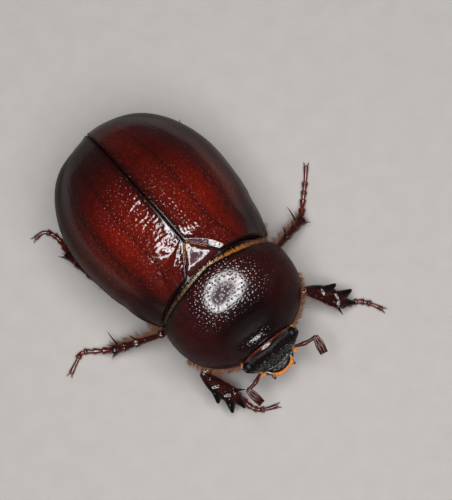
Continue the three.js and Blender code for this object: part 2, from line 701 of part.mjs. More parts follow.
const trunk = hindTrunk(THORAX_Y[0], ABDOMEN_END_Y, 15);
const WAIST_Y = THORAX_Y[1];
const tilt = PYGIDIUM.tilt * RAD;
const pygidiumTilt = vector(0, Math.cos(tilt), -Math.sin(tilt)); // faces back and down
const pygidiumAt = pygidiumTilt.dot(vector(0, PYGIDIUM.y, PYGIDIUM.z));
const aheadOfTilt = pygidiumTilt.clone().negate();
const thorax = trunk.trimByPlane([0, -1, 0], -WAIST_Y);
const hindPart = trunk.trimByPlane([0, 1, 0], WAIST_Y + GAP);
const abdomen = hindPart.trimByPlane(aheadOfTilt.toArray(), GAP - pygidiumAt);
add(hindbody, "thorax", cutBy(thorax, ...legsOf("middle", "hind")), FINISHES.underside);
add(hindbody, "abdomen", cutBy(abdomen, ...legsOf("hind")), FINISHES.underside);
add(hindbody, "pygidium", trunk.trimByPlane(pygidiumTilt.toArray(), pygidiumAt), FINISHES.underside);

add(forebody, "pronotum", pronotumPlate(), FINISHES.pronotum);
add(forebody, "prothorax", cutBy(forebodyTrunk(), ...legsOf("front")), FINISHES.underside);
const eyesWithGap = SIDES.map(([, side]) => eyeSolid(side, GAP));
const mandiblesWithGap = SIDES.map(([, side]) => mandibleSolid(side, GAP));
add(forebody, "head", cutBy(headSolid(), ...eyesWithGap, ...mandiblesWithGap), FINISHES.head);
add(forebody, "clypeus", cutBy(clypeusSolid(), ...mandiblesWithGap), FINISHES.head);
add(forebody, "labrum", labrumSolid(), FINISHES.head);
for (const [sideName, side] of SIDES) {
  add(forebody, `eye_${sideName}`, eyeSolid(side), FINISHES.eye);
  add(forebody, `mandible_${sideName}`, mandibleSolid(side), FINISHES.head);
  add(forebody, `palp_${sideName}`, palpSolid(side), FINISHES.feeler);
  const stalk = feelerStalk(sideName);
  add(forebody, `antenna_${sideName}_stalk`, stalk, FINISHES.feeler);
  add(forebody, `antenna_${sideName}_club`, feelerClub(sideName, stalk), FINISHES.feeler);
}

forebody.position.set(0, TURN.pivotY, 0);
forebody.rotation.z = TURN.degrees * RAD;
forebody.children.forEach((mesh) => mesh.geometry.translate(0, -TURN.pivotY, 0));

const box = new THREE.Box3().setFromObject(beetle);
const middle = box.getCenter(new THREE.Vector3());
beetle.position.set(-middle.x, -middle.y, -box.min.z);

export default beetle;
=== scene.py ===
# %% [markdown]
# # A hornless rhinoceros beetle, life size
# The real animal is a female scarab beetle about 23 mm long. Its back is armour: two wing cases, a small
# triangular scutellum between them, and a domed shield, the pronotum, behind the head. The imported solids
# give every plate and limb its place. Here each one gets its fine surface, its finish and its hairs.
# All sizes are in millimetres, and each finished mesh is turned to metres at the very end.

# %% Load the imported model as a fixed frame
import math
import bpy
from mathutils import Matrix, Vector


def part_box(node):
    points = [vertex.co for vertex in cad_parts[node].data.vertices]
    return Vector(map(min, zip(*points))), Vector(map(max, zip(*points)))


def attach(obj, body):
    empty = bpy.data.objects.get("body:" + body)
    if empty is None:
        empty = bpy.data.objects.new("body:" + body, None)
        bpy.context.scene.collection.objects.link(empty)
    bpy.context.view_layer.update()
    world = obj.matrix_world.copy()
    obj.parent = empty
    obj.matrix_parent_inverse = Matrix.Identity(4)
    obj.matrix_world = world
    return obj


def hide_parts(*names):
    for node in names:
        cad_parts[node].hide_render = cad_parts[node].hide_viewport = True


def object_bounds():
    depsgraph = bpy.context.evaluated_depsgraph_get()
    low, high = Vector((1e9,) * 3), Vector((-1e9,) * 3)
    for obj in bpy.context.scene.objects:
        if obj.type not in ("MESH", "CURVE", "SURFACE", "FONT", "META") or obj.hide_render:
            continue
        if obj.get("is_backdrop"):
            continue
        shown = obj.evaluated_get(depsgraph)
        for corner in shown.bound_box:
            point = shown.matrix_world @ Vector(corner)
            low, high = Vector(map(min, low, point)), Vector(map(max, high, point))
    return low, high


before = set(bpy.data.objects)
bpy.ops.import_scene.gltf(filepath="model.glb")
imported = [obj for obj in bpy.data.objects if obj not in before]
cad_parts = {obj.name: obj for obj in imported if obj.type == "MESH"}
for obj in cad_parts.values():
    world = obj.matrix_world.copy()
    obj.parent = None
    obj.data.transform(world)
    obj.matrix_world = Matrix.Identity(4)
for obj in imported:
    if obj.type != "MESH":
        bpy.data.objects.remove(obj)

from types import SimpleNamespace as Sizes

import bmesh
import bpy
import numpy as np
from mathutils import Matrix, Vector, kdtree, noise

cad_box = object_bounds()
print("nodes in the frame:", len(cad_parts))

# %% Sizes of the shell plates, in millimetres
RAD = math.pi / 180
MM = 0.001
LEFT, RIGHT = 1, -1
SIDES = ((LEFT, "left"), (RIGHT, "right"))
GAP = 0.05  # between neighbouring solids
PLATE = 0.6  # thickness of the shells
ARCH = 2.2  # roundness of every shell's cross-section, 2 is an ellipse
ELYTRA = Sizes(
    half_width=6.95, widest_y=6.8, end_y=14.85, top_z=10.6, top_y=5, base_y=0.14,
    shoulder_sweep=0.95, shoulder_curve=1.5, flare=0.026, base_drop=0.025, back_arch=2.5,
)
EDGE = Sizes(low_z=4.35, low_y=6, rise=0.01, pronotum_z=4.8, pronotum_y=-1, pronotum_slope=0.09)
SCUTELLUM = Sizes(half_width=1.42, front_y=0.5, tip_y=2.35, sink=0.1, thick=0.5)
PRONOTUM = Sizes(
    half_width=5.55, widest_y=-2.4, hind_y=-0.1, front_y=-6.95, corner_sweep=0.95, corner_curve=1.2,
    side_arch=2.3, side_reach=4.88, hind_narrowing=0.17, top_z=10.15, top_y=-1.5, front_drop=3.55,
    hind_drop=0.11, front_fall=2.25,
    dip_depth=0.78, dip_x=-0.45, dip_y=-5.85, dip_half_width=1.8, dip_half_length=0.72,
)
FOREBODY_TURN = Sizes(degrees=-2.5, pivot_y=-3)

# %% [markdown]
# ## Where the insect stands
# The shapes below are worked out round the insect's own middle line. The frame's box of the two wing cases
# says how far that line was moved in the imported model. The head and the pronotum are turned a little to the
# right, so they get their own placing matrix. A matrix that is applied to the mesh data leaves the object
# itself at the origin, which keeps the patterns on Object coordinates true.

# %% Placing matrices
left_high, right_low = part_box("elytron_left")[1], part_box("elytron_right")[0]
SHIFT = Vector(((left_high.x + right_low.x) / 2 / MM, left_high.y / MM - ELYTRA.end_y, 0))
pivot = Vector((0, FOREBODY_TURN.pivot_y, 0))
HIND_PLACE = Matrix.Scale(MM, 4) @ Matrix.Translation(SHIFT)
FORE_PLACE = (
    HIND_PLACE
    @ Matrix.Translation(pivot)
    @ Matrix.Rotation(FOREBODY_TURN.degrees * RAD, 4, "Z")
    @ Matrix.Translation(-pivot)
)
print("the middle line stands at x, y =", round(SHIFT.x, 3), round(SHIFT.y, 3), "mm")


# %% Small functions for smooth shapes
UP = np.array([0, 0, 1.0])


def mix(a, b, t):
    return a + (b - a) * t


def signed_power(base, exponent):
    return np.sign(base) * np.abs(base) ** exponent


def hump(x, centre, width):
    """A smooth hump 1 high."""
    return np.exp(-(((x - centre) / width) ** 2))


def quarter(t, n, m=None):
    """A quarter of a superellipse, from 1 at t = 0 down to 0 at t = 1."""
    return np.maximum(0, 1 - np.abs(t) ** n) ** (1 / (m or n))


def fade(x, start, end):
    """0 before start, 1 after end, smooth between them."""
    t = np.clip((x - start) / (end - start), 0, 1)
    return t * t * (3 - 2 * t)


def unit(vectors):
    return vectors / np.maximum(np.linalg.norm(vectors, axis=-1, keepdims=True), 1e-9)


def rough_field(points, size, seed):
    """Soft random heights between about -1 and 1, with lumps of the given size in millimetres."""
    offset = Vector((seed * 17.3, seed * 5.1, seed * 9.7))
    flat = points.reshape(-1, 3) / size
    return np.array([noise.noise(Vector(p) + offset) for p in flat]).reshape(points.shape[:-1])


# %% [markdown]
# ## Meshes from grids
# Every plate and limb here is a grid of points bent by a formula, which is the surest way to hold a measured
# outline. Sculpting or subdividing a cage would also work, but the outline would drift. A grid that wraps
# round makes a tube, and one that doesn't makes a sheet. Meeting points are merged and the normals worked
# out again at the end, so every piece is closed and faces outwards.


# %% Faces of a grid, and a finished piece from points and faces
def grid_faces(rows, columns, wrap=False, start=0):
    i, j = np.meshgrid(np.arange(rows - 1), np.arange(columns if wrap else columns - 1), indexing="ij")
    a, b = i * columns + j, i * columns + (j + 1) % columns
    return (np.stack([a, b, b + columns, a + columns], -1).reshape(-1, 4) + start).tolist()


def raw_mesh(name, points, faces, uv=None, values=None):
    """A mesh in millimetres with an optional UV map and optional point values, closed and facing outwards."""
    mesh = bpy.data.meshes.new(name)
    mesh.from_pydata(np.asarray(points, float).tolist(), [], faces)
    for key, numbers in (values or {}).items():
        layer = mesh.attributes.new(key, "FLOAT", "POINT")
        layer.data.foreach_set("value", np.broadcast_to(numbers, len(mesh.vertices)).astype(np.float32))
    if uv is not None:
        corner = np.zeros(len(mesh.loops), np.int32)
        mesh.loops.foreach_get("vertex_index", corner)
        layer = mesh.uv_layers.new(name="Shell")
        layer.uv.foreach_set("vector", np.asarray(uv, np.float32)[corner].ravel())
    bm = bmesh.new()
    bm.from_mesh(mesh)
    bmesh.ops.remove_doubles(bm, verts=bm.verts, dist=1e-4)
    bmesh.ops.dissolve_degenerate(bm, edges=bm.edges, dist=1e-5)
    bmesh.ops.recalc_face_normals(bm, faces=bm.faces)
    bm.to_mesh(mesh)
    bm.free()
    return mesh


def put_in_scene(name, data):
    made = bpy.data.objects.new(name, data)
    bpy.context.scene.collection.objects.link(made)
    return made


def evaluated_mesh(holder):
    """The mesh that an object's modifiers make. The object itself is not needed after that."""
    graph = bpy.context.evaluated_depsgraph_get()
    mesh = bpy.data.meshes.new_from_object(holder.evaluated_get(graph))
    bpy.data.objects.remove(holder)
    return mesh


def finish_piece(mesh, name, material, place, slot, *nodes):
    """Turns a mesh to metres, and gives it its finish, its body and the solids that it replaces. The slot is
    not used.
    """
    mesh.transform(place)
    mesh.polygons.foreach_set("use_smooth", np.ones(len(mesh.polygons), bool))
    piece = put_in_scene(name, mesh)
    mesh.materials.clear()
    mesh.materials.append(material)
    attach(piece, "root")
    if nodes:
        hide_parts(*nodes)
    return piece


def make_piece(name, shape, material, place, slot, *nodes, uv=None, **values):
    """A finished piece from points and faces, and point values such as its dark tone and painted shade."""
    return finish_piece(raw_mesh(name, *shape, uv, values), name, material, place, slot, *nodes)


def joined(parts):
    """Several (points, faces) pairs as one."""
    points, faces, start = [], [], 0
    for part_points, part_faces in parts:
        part_points = np.asarray(part_points).reshape(-1, 3)
        points.append(part_points)
        faces += [[corner + start for corner in face] for face in part_faces]
        start += len(part_points)
    return np.vstack(points), faces


# %% [markdown]
# ## Materials
# Insect armour is chitin, a clear horny stuff that is tanned from amber to black. It has the gloss of a
# varnished nut: a tinted body under a clear skin, with an index of refraction near 1.56. So each armour finish
# is a Principled shader with a coat over a darker body colour, and fine pits come from cell textures in a
# bump. Pits that are wide enough to see are in the mesh as well.


# %% Colour and node helpers
def linear(hex_code, alpha=1.0):
    """An sRGB hex code as the linear colour that Blender's sockets want."""
    channels = [int(hex_code[i : i + 2], 16) / 255 for i in (1, 3, 5)]
    return [c / 12.92 if c <= 0.04045 else ((c + 0.055) / 1.055) ** 2.4 for c in channels] + [alpha]


def add(tree, kind, sockets=None, stops=None, **settings):
    """
    Adds one node. Settings are its properties and stops the colours of a ramp. Sockets are its inputs: a node
    stands for its first output, and None leaves the input as it is.
    """
    made = tree.nodes.new(kind)
    for key, value in settings.items():
        setattr(made, key, value)
    for key, value in (sockets or {}).items():
        if isinstance(value, bpy.types.Node):
            value = value.outputs[0]
        if isinstance(value, bpy.types.NodeSocket):
            tree.links.new(value, made.inputs[key])
        elif value is not None:
            made.inputs[key].default_value = value
    if stops:
        ramp = made.color_ramp
        while len(ramp.elements) > len(stops):
            ramp.elements.remove(ramp.elements[-1])
        while len(ramp.elements) < len(stops):
            ramp.elements.new(1.0)
        for element, (position, code) in zip(ramp.elements, stops):
            element.position = position
            element.color = linear(code)
    return made


def new_material(name):
    material = bpy.data.materials.new(name)
    material.use_nodes = True
    material.node_tree.nodes.clear()
    return material, material.node_tree


def per_metre(size_mm):
    """The scale of a texture on Object coordinates whose cells are size_mm wide."""
    return 1 / (size_mm * MM)


CHITIN = Sizes(ior=1.56, under_the_coat=0.02)  # what light meets below the coat has hardly any gloss of its own


def darkened(tree, colour, dark):
    """The colour, turned to a darker one where the mesh's value for dark tone and painted shade is high."""
    share = add(tree, "ShaderNodeAttribute", attribute_name="darkness").outputs["Fac"]
    return add(tree, "ShaderNodeMix", {0: share, 6: colour, 7: linear(dark)}, data_type="RGBA").outputs[2]


def armoured(tree, colour, roughness, coat, normal, worn_coat=None):
    """The end of every chitin finish: a body under a clear coat, thinner where the mesh says "worn"."""
    weight, coat_roughness = coat
    if worn_coat:
        worn = add(tree, "ShaderNodeAttribute", attribute_name="worn").outputs["Fac"]
        weight = add(tree, "ShaderNodeMapRange", {"Value": worn, 3: weight, 4: worn_coat * weight}).outputs[0]
    body = add(
        tree, "ShaderNodeBsdfPrincipled",
        {
            "Base Color": colour, "Roughness": roughness, "IOR": CHITIN.ior,
            "Specular IOR Level": CHITIN.under_the_coat, "Coat Weight": weight, "Coat IOR": CHITIN.ior,
            "Coat Roughness": coat_roughness, "Normal": normal, "Coat Normal": normal,
        },
    )
    add(tree, "ShaderNodeOutputMaterial", {0: body})


# %% [markdown]
# ### Polished chestnut chitin, for the wing cases
# The wing cases are thin enough to glow red in their middle, where they stand clear of the dark body. They are
# nearly black along the seam, at the shoulders and towards the side edge, and darker lines run along them.
# Painted shade darkens a band along their base, in the gap below the pronotum, their rear, from further forward
# on the left case, and the left case's outer flank.
# The coat is thinner where "worn" is high, along the sides, which rub against soil when the beetle digs.
# The UV map runs across each case, 0 at the seam and 1 at the side edge, and along it, 0 at the base, so the
# bands follow the shell. A stretched noise breaks the bands into streaks. Tiny punctures, 0.1 mm wide, come
# from flat cells on the same map, which fill a thin shell more evenly than cells cut out of solid space do.

# %% Wing-case finish
BANDS = [  # where on the way from the seam to the side edge, and the colour there
    (0.0, "#080202"), (0.034, "#0b0202"), (0.05, "#2c0402"), (0.08, "#460702"), (0.15, "#4d0801"),
    (0.22, "#4e0901"), (0.262, "#440701"), (0.275, "#2c0402"), (0.29, "#500802"), (0.36, "#520a02"),
    (0.44, "#440802"), (0.485, "#300502"), (0.497, "#1e0302"), (0.51, "#300502"), (0.6, "#3a0702"),
    (0.66, "#2e0502"), (0.76, "#260805"), (0.88, "#260c08"), (1.0, "#280f0a"),
]
STREAKS = Sizes(across=24, along=1.3, stray=0.05)  # how many fit on the map, and how far they shift the bands
MOTTLE = Sizes(size=0.5, darkest=0.6, lightest=1.32)
FLECKS = Sizes(size=0.17, share=0.5, colour="#6e2410")
PUNCTURES = Sizes(spacing=0.33, radius=0.05, depth=0.008, across=8.6, along=15.0)
WING_SKIN = Sizes(size=0.12, depth=0.0015)
wing_case, tree = new_material("polished chestnut chitin")
on_shell = add(tree, "ShaderNodeUVMap", uv_map="Shell").outputs["UV"]
place = add(tree, "ShaderNodeTexCoord").outputs["Object"]
across = add(tree, "ShaderNodeSeparateXYZ", {0: on_shell}).outputs[0]
stretched = add(
    tree, "ShaderNodeMapping", {"Vector": on_shell, "Scale": (STREAKS.across, STREAKS.along, 1)}
).outputs[0]
streaks = add(tree, "ShaderNodeTexNoise", {"Vector": stretched, "Scale": 1.0, "Detail": 5.0, "Roughness": 0.6})
shifted = add(
    tree, "ShaderNodeMath", {0: streaks.outputs["Fac"], 1: STREAKS.stray, 2: across}, operation="MULTIPLY_ADD"
)
bands = add(tree, "ShaderNodeValToRGB", {0: shifted}, stops=BANDS)
mottle = add(
    tree, "ShaderNodeTexNoise",
    {"Vector": place, "Scale": per_metre(MOTTLE.size), "Detail": 4.0, "Roughness": 0.65},
)
mottle_range = add(
    tree, "ShaderNodeMapRange",
    {"Value": mottle.outputs["Fac"], 1: 0.3, 2: 0.75, 3: MOTTLE.darkest, 4: MOTTLE.lightest},
)
mottled = add(
    tree, "ShaderNodeMix", {0: 1.0, 6: bands, 7: mottle_range},
    data_type="RGBA", blend_type="MULTIPLY",
)
flecks = add(tree, "ShaderNodeTexNoise", {"Vector": place, "Scale": per_metre(FLECKS.size), "Detail": 2.0})
fleck_share = add(
    tree, "ShaderNodeMapRange", {"Value": flecks.outputs["Fac"], 1: 0.56, 2: 0.72, 3: 0.0, 4: FLECKS.share}
)
flecked = add(
    tree, "ShaderNodeMix", {0: fleck_share, 6: mottled.outputs[2], 7: linear(FLECKS.colour)},
    data_type="RGBA",
)
cells_across, cells_along = (way / PUNCTURES.spacing for way in (PUNCTURES.across, PUNCTURES.along))
cells = add(tree, "ShaderNodeMapping", {"Vector": on_shell, "Scale": (cells_across, cells_along, 1)})
pits = add(
    tree, "ShaderNodeTexVoronoi", {"Vector": cells, "Scale": 1.0, "Randomness": 0.9},
    voronoi_dimensions="2D",
)
pit_depth = add(
    tree, "ShaderNodeMapRange",
    {"Value": pits.outputs["Distance"], 1: 0.03, 2: PUNCTURES.radius / PUNCTURES.spacing},
    interpolation_type="SMOOTHSTEP",
)
pit_bump = add(
    tree, "ShaderNodeBump",
    {"Height": pit_depth, "Strength": 1.0, "Distance": PUNCTURES.depth * MM},
)
skin = add(tree, "ShaderNodeTexNoise", {"Vector": place, "Scale": per_metre(WING_SKIN.size), "Detail": 3.0})
skin_bump = add(
    tree, "ShaderNodeBump",
    {
        "Height": skin.outputs["Fac"], "Strength": 1.0, "Distance": WING_SKIN.depth * MM,
        "Normal": pit_bump,
    },
)
# 150404 is the dark of the wing cases' own dark tones and of their painted shade at the base, over the rear and
# on the left flank
shaded = darkened(tree, flecked.outputs[2], "#150404")
armoured(tree, shaded, 0.5, (1.0, 0.07), skin_bump.outputs[0], worn_coat=0.1)
print("finish:", wing_case.name)


# %% [markdown]
# ### The other armour finishes
# The rest of the armour is the same stuff in other tans, so one function makes them all. It takes the colours
# of its patches, the size of the patches, how rough the body and the coat are, and three layers of bump: pits,
# grains that stand up, and the fine leathery skin. The value for dark tone and painted shade on a mesh turns
# its
# places to black: a part's own black, and on the wing cases, the pronotum's hind edge and the trunk, painted
# shade.
# Where "wears" is set, the coat also gets thinner where the value "worn" is high.


# %% One function for chitin
WORN_COAT = 0.12  # how much of the coat is left where it has worn most


def chitin(
    name, stops, patch, roughness, coat, dark="#0b0505", pits=None, grains=None, skin=(0.1, 0.004), wears=False
):
    """pits and grains are (spacing, share of the cell, depth), skin is (size, depth), all in millimetres."""
    material, tree = new_material(name)
    place = add(tree, "ShaderNodeTexCoord").outputs["Object"]
    patches = add(
        tree, "ShaderNodeTexNoise",
        {"Vector": place, "Scale": per_metre(patch), "Detail": 5.0, "Roughness": 0.6},
    )
    tint = add(tree, "ShaderNodeValToRGB", {0: patches.outputs["Fac"]}, stops=stops)
    layers = []
    for layer, centre, between in ((pits, 0.0, 1.0), (grains, 1.0, 0.0)):
        if layer:
            spacing, share, depth = layer
            cells = add(tree, "ShaderNodeTexVoronoi", {"Vector": place, "Scale": per_metre(spacing)})
            height = add(
                tree, "ShaderNodeMapRange",
                {"Value": cells.outputs["Distance"], 1: share * 0.15, 2: share, 3: centre, 4: between},
                interpolation_type="SMOOTHSTEP",
            )
            layers.append((height.outputs[0], depth))
    leather = add(tree, "ShaderNodeTexNoise", {"Vector": place, "Scale": per_metre(skin[0]), "Detail": 3.0})
    layers.append((leather.outputs["Fac"], skin[1]))
    normal = None
    for height, depth in layers:
        sockets = {"Height": height, "Strength": 1.0, "Distance": depth * MM, "Normal": normal}
        normal = add(tree, "ShaderNodeBump", sockets).outputs[0]
    shaded = darkened(tree, tint.outputs[0], dark)
    armoured(tree, shaded, roughness, coat, normal, WORN_COAT if wears else None)
    return material


# %% [markdown]
# The pronotum is maroon and densely pitted, almost black over its front. The head is dull and grainy, because
# it pushes through soil. Legs are a dark glossy brown, feet and feelers thinner and so redder. The underside
# is a duller brown. Eyes are black beads of tiny lenses under a smooth, hard skin.

# %% Finishes of the pronotum, head, limbs, underside and eyes
# The shield's dark colour serves its near-black front and rims, and the painted shade along its hind edge.
shield_finish = chitin(
    "pitted maroon chitin", [(0.25, "#170405"), (0.5, "#200607"), (0.8, "#2f0908")], 1.6, 0.5, (1.0, 0.12),
    dark="#070303", pits=(0.25, 0.2, 0.013), skin=(0.09, 0.0015), wears=True,
)
scutellum_finish = chitin(
    "smooth maroon chitin", [(0.3, "#25090c"), (0.7, "#34100f")], 0.5, 0.4, (1.0, 0.09), skin=(0.2, 0.009),
)
head_finish = chitin(
    "grainy black chitin", [(0.3, "#080505"), (0.7, "#110c0b")], 0.6, 0.6, (0.9, 0.1),
    grains=(0.17, 0.4, 0.03), skin=(0.09, 0.002), wears=True,
)
brow_finish = chitin(
    "smooth black chitin", [(0.3, "#3a0d08"), (0.8, "#5a190c")], 0.6, 0.4, (0.9, 0.17), dark="#0a0505",
    skin=(0.1, 0.0015),
)
leg_finish = chitin(
    "dark glossy leg chitin", [(0.25, "#170505"), (0.55, "#270906"), (0.8, "#3b0f08")], 0.9, 0.4, (0.9, 0.1),
    dark="#060303", pits=(0.28, 0.3, 0.015),
)
foot_finish = chitin(
    "red-brown foot chitin", [(0.3, "#2d0905"), (0.7, "#4b150a")], 0.4, 0.38, (0.9, 0.1), dark="#100504",
)
under_finish = chitin(
    "brown underside chitin", [(0.25, "#220b07"), (0.55, "#38130b"), (0.8, "#4c1d10")], 1.1, 0.45, (0.5, 0.2),
    pits=(0.3, 0.3, 0.02),
)
feeler_finish = chitin(
    "amber feeler chitin", [(0.3, "#240a07"), (0.7, "#40150d")], 0.35, 0.4, (0.7, 0.15), dark="#140605",
)
eye_finish = chitin(
    "black faceted lens", [(0.3, "#050405"), (0.7, "#0c0809")], 0.2, 0.5, (0.15, 0.15),
    grains=(0.035, 0.7, 0.003), skin=(0.05, 0.001),
)

# %% [markdown]
# ### Hair
# Beetle hair is a solid rod of the same chitin, thin enough to let light through, so it shines golden when lit
# and brown in shade. A fine noise gives each hair its own tones, and a sheen in the lightest of them stands
# for the light that comes through, which is cheaper to render than real transmission.


# %% Hair finishes
def hair_material(name, stops, sheen, span=0.0):
    """With a span in millimetres the tones also run from right to left over it, as along the waist, where the
    run paints a pale lit middle and shaded darker ends.
    """
    material, tree = new_material(name)
    place = add(tree, "ShaderNodeTexCoord").outputs["Object"]
    tones = add(tree, "ShaderNodeTexNoise", {"Vector": place, "Scale": per_metre(0.1), "Detail": 3.0})
    tone = tones.outputs["Fac"]
    if span:
        x = add(tree, "ShaderNodeSeparateXYZ", {0: place}).outputs[0]
        half = span / 2 * MM
        run = add(tree, "ShaderNodeMapRange", {"Value": x, 1: -half, 2: half, 3: -0.25, 4: 0.75})
        stray = add(tree, "ShaderNodeMath", {0: tone, 1: 0.5, 2: run}, operation="MULTIPLY_ADD")
        tone = stray.outputs[0]
    tint = add(tree, "ShaderNodeValToRGB", {0: tone}, stops=stops)
    rod = add(
        tree, "ShaderNodeBsdfPrincipled",
        {"Base Color": tint, "Roughness": 0.42, "IOR": CHITIN.ior, "Sheen Weight": sheen,
         "Sheen Tint": linear(stops[-1][1])},
    )
    add(tree, "ShaderNodeOutputMaterial", {0: rod})
    return material


gold_hair = hair_material("golden beetle hair", [(0.3, "#4a2409"), (0.5, "#a8601a"), (0.75, "#d99a3c")], 0.2)
orange_hair = hair_material("orange beetle hair", [(0.3, "#7d3a08"), (0.52, "#cb7716"), (0.75, "#eca43c")], 0.3)
brown_hair = hair_material(
    "red-brown beetle hair", [(0.3, "#2e1609"), (0.55, "#6b3610"), (0.8, "#a5601f")], 0.2
)
# Painted light and shade across the fringe: the pale tan middle stands for light falling on it, the darker ends
# for shade, and the orange towards the left is the hair's own colour.
waist_hair_with_painted_light = hair_material(
    "fringe hair with painted light and shade",
    [
        (0.0, "#1c110a"), (0.2, "#3a200c"), (0.33, "#74461a"), (0.47, "#e2c4a4"), (0.57, "#ecd6bc"),
        (0.66, "#b86c22"), (0.76, "#c07214"), (0.84, "#8a5214"), (1.0, "#583212"),
    ],
    0.2, span=11.0,
)
print("finishes made:", len(bpy.data.materials))


# %% [markdown]
# ## Shell plates
# A shell plate is a fine outer surface and a coarse inner one, 0.6 mm apart, walled along its four edges.
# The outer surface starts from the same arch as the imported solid. Relief is then added along its normals:
# a bead round the edge, a rolled rim, lumps, wrinkles and pits. Bump could draw the small ones, but the gloss
# of a beetle shows every wave, and real waves also show in the outline and in an exported mesh.


# %% The arch that every shell follows
def arch(angle, y, half_width, crown_z, edge_z):
    x = half_width * signed_power(np.sin(angle), 2 / ARCH)
    z = edge_z + (crown_z - edge_z) * np.maximum(0, np.cos(angle)) ** (2 / ARCH)
    return np.stack(np.broadcast_arrays(x, y, z), -1)


def elytra_edge(y):
    return EDGE.low_z + EDGE.rise * (y - EDGE.low_y) ** 2


def pronotum_edge(y):
    return EDGE.pronotum_z + EDGE.pronotum_slope * (y - EDGE.pronotum_y)


def elytra_half_width(y, inset=0):
    behind = y - ELYTRA.widest_y
    wide = ELYTRA.half_width - inset
    reach = ELYTRA.end_y - inset - ELYTRA.widest_y
    return np.where(behind < 0, wide - ELYTRA.flare * behind**2, wide * quarter(behind / reach, 2))


def elytra_top(y, inset=0):
    behind = y - ELYTRA.top_y
    top = ELYTRA.top_z - inset
    edge_z = elytra_edge(ELYTRA.end_y)
    arc = quarter(behind / (ELYTRA.end_y - inset - ELYTRA.top_y), ELYTRA.back_arch, ARCH)
    return np.where(behind < 0, top - ELYTRA.base_drop * behind**2, edge_z + (top - edge_z) * arc)


def scutellum_half_width(y):
    length = SCUTELLUM.tip_y - SCUTELLUM.front_y
    return SCUTELLUM.half_width * np.maximum(0, (SCUTELLUM.tip_y - y) / length)


def pronotum_half_width(y, inset=0):
    ahead = PRONOTUM.widest_y - y
    wide = PRONOTUM.half_width
    front = wide * quarter(np.maximum(ahead, 0) / PRONOTUM.side_reach, PRONOTUM.side_arch)
    return np.where(ahead < 0, wide - PRONOTUM.hind_narrowing * ahead**2, front) - inset


def pronotum_top(y, inset=0):
    ahead = PRONOTUM.top_y - y
    reach = PRONOTUM.top_y - PRONOTUM.front_y
    fall = PRONOTUM.front_drop * np.abs(ahead / reach) ** PRONOTUM.front_fall
    drop = np.where(ahead < 0, PRONOTUM.hind_drop * ahead**2, fall)
    return PRONOTUM.top_z - inset - drop


def pronotum_dip(x, y):
    across = (x - PRONOTUM.dip_x) / PRONOTUM.dip_half_width
    along = (y - PRONOTUM.dip_y) / PRONOTUM.dip_half_length
    return PRONOTUM.dip_depth * np.exp(-(across**2) - along**2)


# %% Distances and normals on a grid, and the walls of a plate
def edge_distances(grid):
    """How far every point is, along the shell, from the grid's first row, last row, first and last column."""
    down = np.linalg.norm(np.diff(grid, axis=0), axis=2).cumsum(0)
    down = np.vstack([np.zeros((1, grid.shape[1])), down])
    over = np.linalg.norm(np.diff(grid, axis=1), axis=2).cumsum(1)
    over = np.hstack([np.zeros((grid.shape[0], 1)), over])
    return down, down[-1] - down, over, over[:, -1:] - over


def grid_normals(grid, wrap=False):
    along = np.gradient(grid, axis=0)
    across = np.roll(grid, -1, 1) - np.roll(grid, 1, 1) if wrap else np.gradient(grid, axis=1)
    normal = unit(np.cross(along, across))
    outward = grid - grid.mean(1, keepdims=True) if wrap else UP
    return normal * np.sign((normal * outward).sum())


def raised(grid, relief, wrap=False):
    """The grid with every point moved out along its normal by the relief."""
    return grid + grid_normals(grid, wrap) * relief[..., None]


def ridges(distance, *rows):
    """Smooth ridges, each given as its height, the distance of its middle and its half width, in mm."""
    return sum(height * hump(distance, middle, half_width) for height, middle, half_width in rows)


def unit_grid(rows, columns):
    u, v = np.meshgrid(np.linspace(0, 1, rows), np.linspace(0, 1, columns), indexing="ij")
    return u, v


PLATE_STEP = 10  # a plate's inner grid has one point for every so many of the outer grid's


def inner_size(rows, columns):
    return (rows - 1) // PLATE_STEP + 1, (columns - 1) // PLATE_STEP + 1


def plate_parts(outer, inner):
    """Points and faces of a plate, from its fine outer grid and its coarse inner one."""
    (rows, columns), (few_rows, few_columns) = outer.shape[:2], inner.shape[:2]
    step = PLATE_STEP
    start = rows * columns
    faces = grid_faces(rows, columns) + grid_faces(few_rows, few_columns, start=start)
    fine = np.arange(start).reshape(rows, columns)
    coarse = np.arange(few_rows * few_columns).reshape(few_rows, few_columns) + start
    for border in (np.s_[0], np.s_[-1], np.s_[:, 0], np.s_[:, -1]):
        fine_line, coarse_line = fine[border].tolist(), coarse[border].tolist()
        for k in range(len(coarse_line) - 1):
            span = fine_line[k * step : (k + 1) * step + 1]
            for i in range(step):
                faces.append([span[i], span[i + 1], coarse_line[k + (i >= step // 2)]])
            faces.append([span[step // 2], coarse_line[k + 1], coarse_line[k]])
    return np.vstack([outer.reshape(-1, 3), inner.reshape(-1, 3)]), faces


def with_inner(numbers, inner, value=1.0):
    """Values of the outer grid's points, and one value for all the inner ones."""
    return np.concatenate([numbers.ravel(), np.full(inner.size // 3, value)])


# %% Places along a line, and round pits dug into a grid
def run_along(line):
    """How far along a line each of its points is."""
    return np.concatenate([[0], np.linalg.norm(np.diff(line, axis=0), axis=1).cumsum()])


def points_at(line, places):
    """The points of a line at these distances along it."""
    run = run_along(line)
    return np.stack([np.interp(places, run, line[:, k]) for k in range(3)], -1)


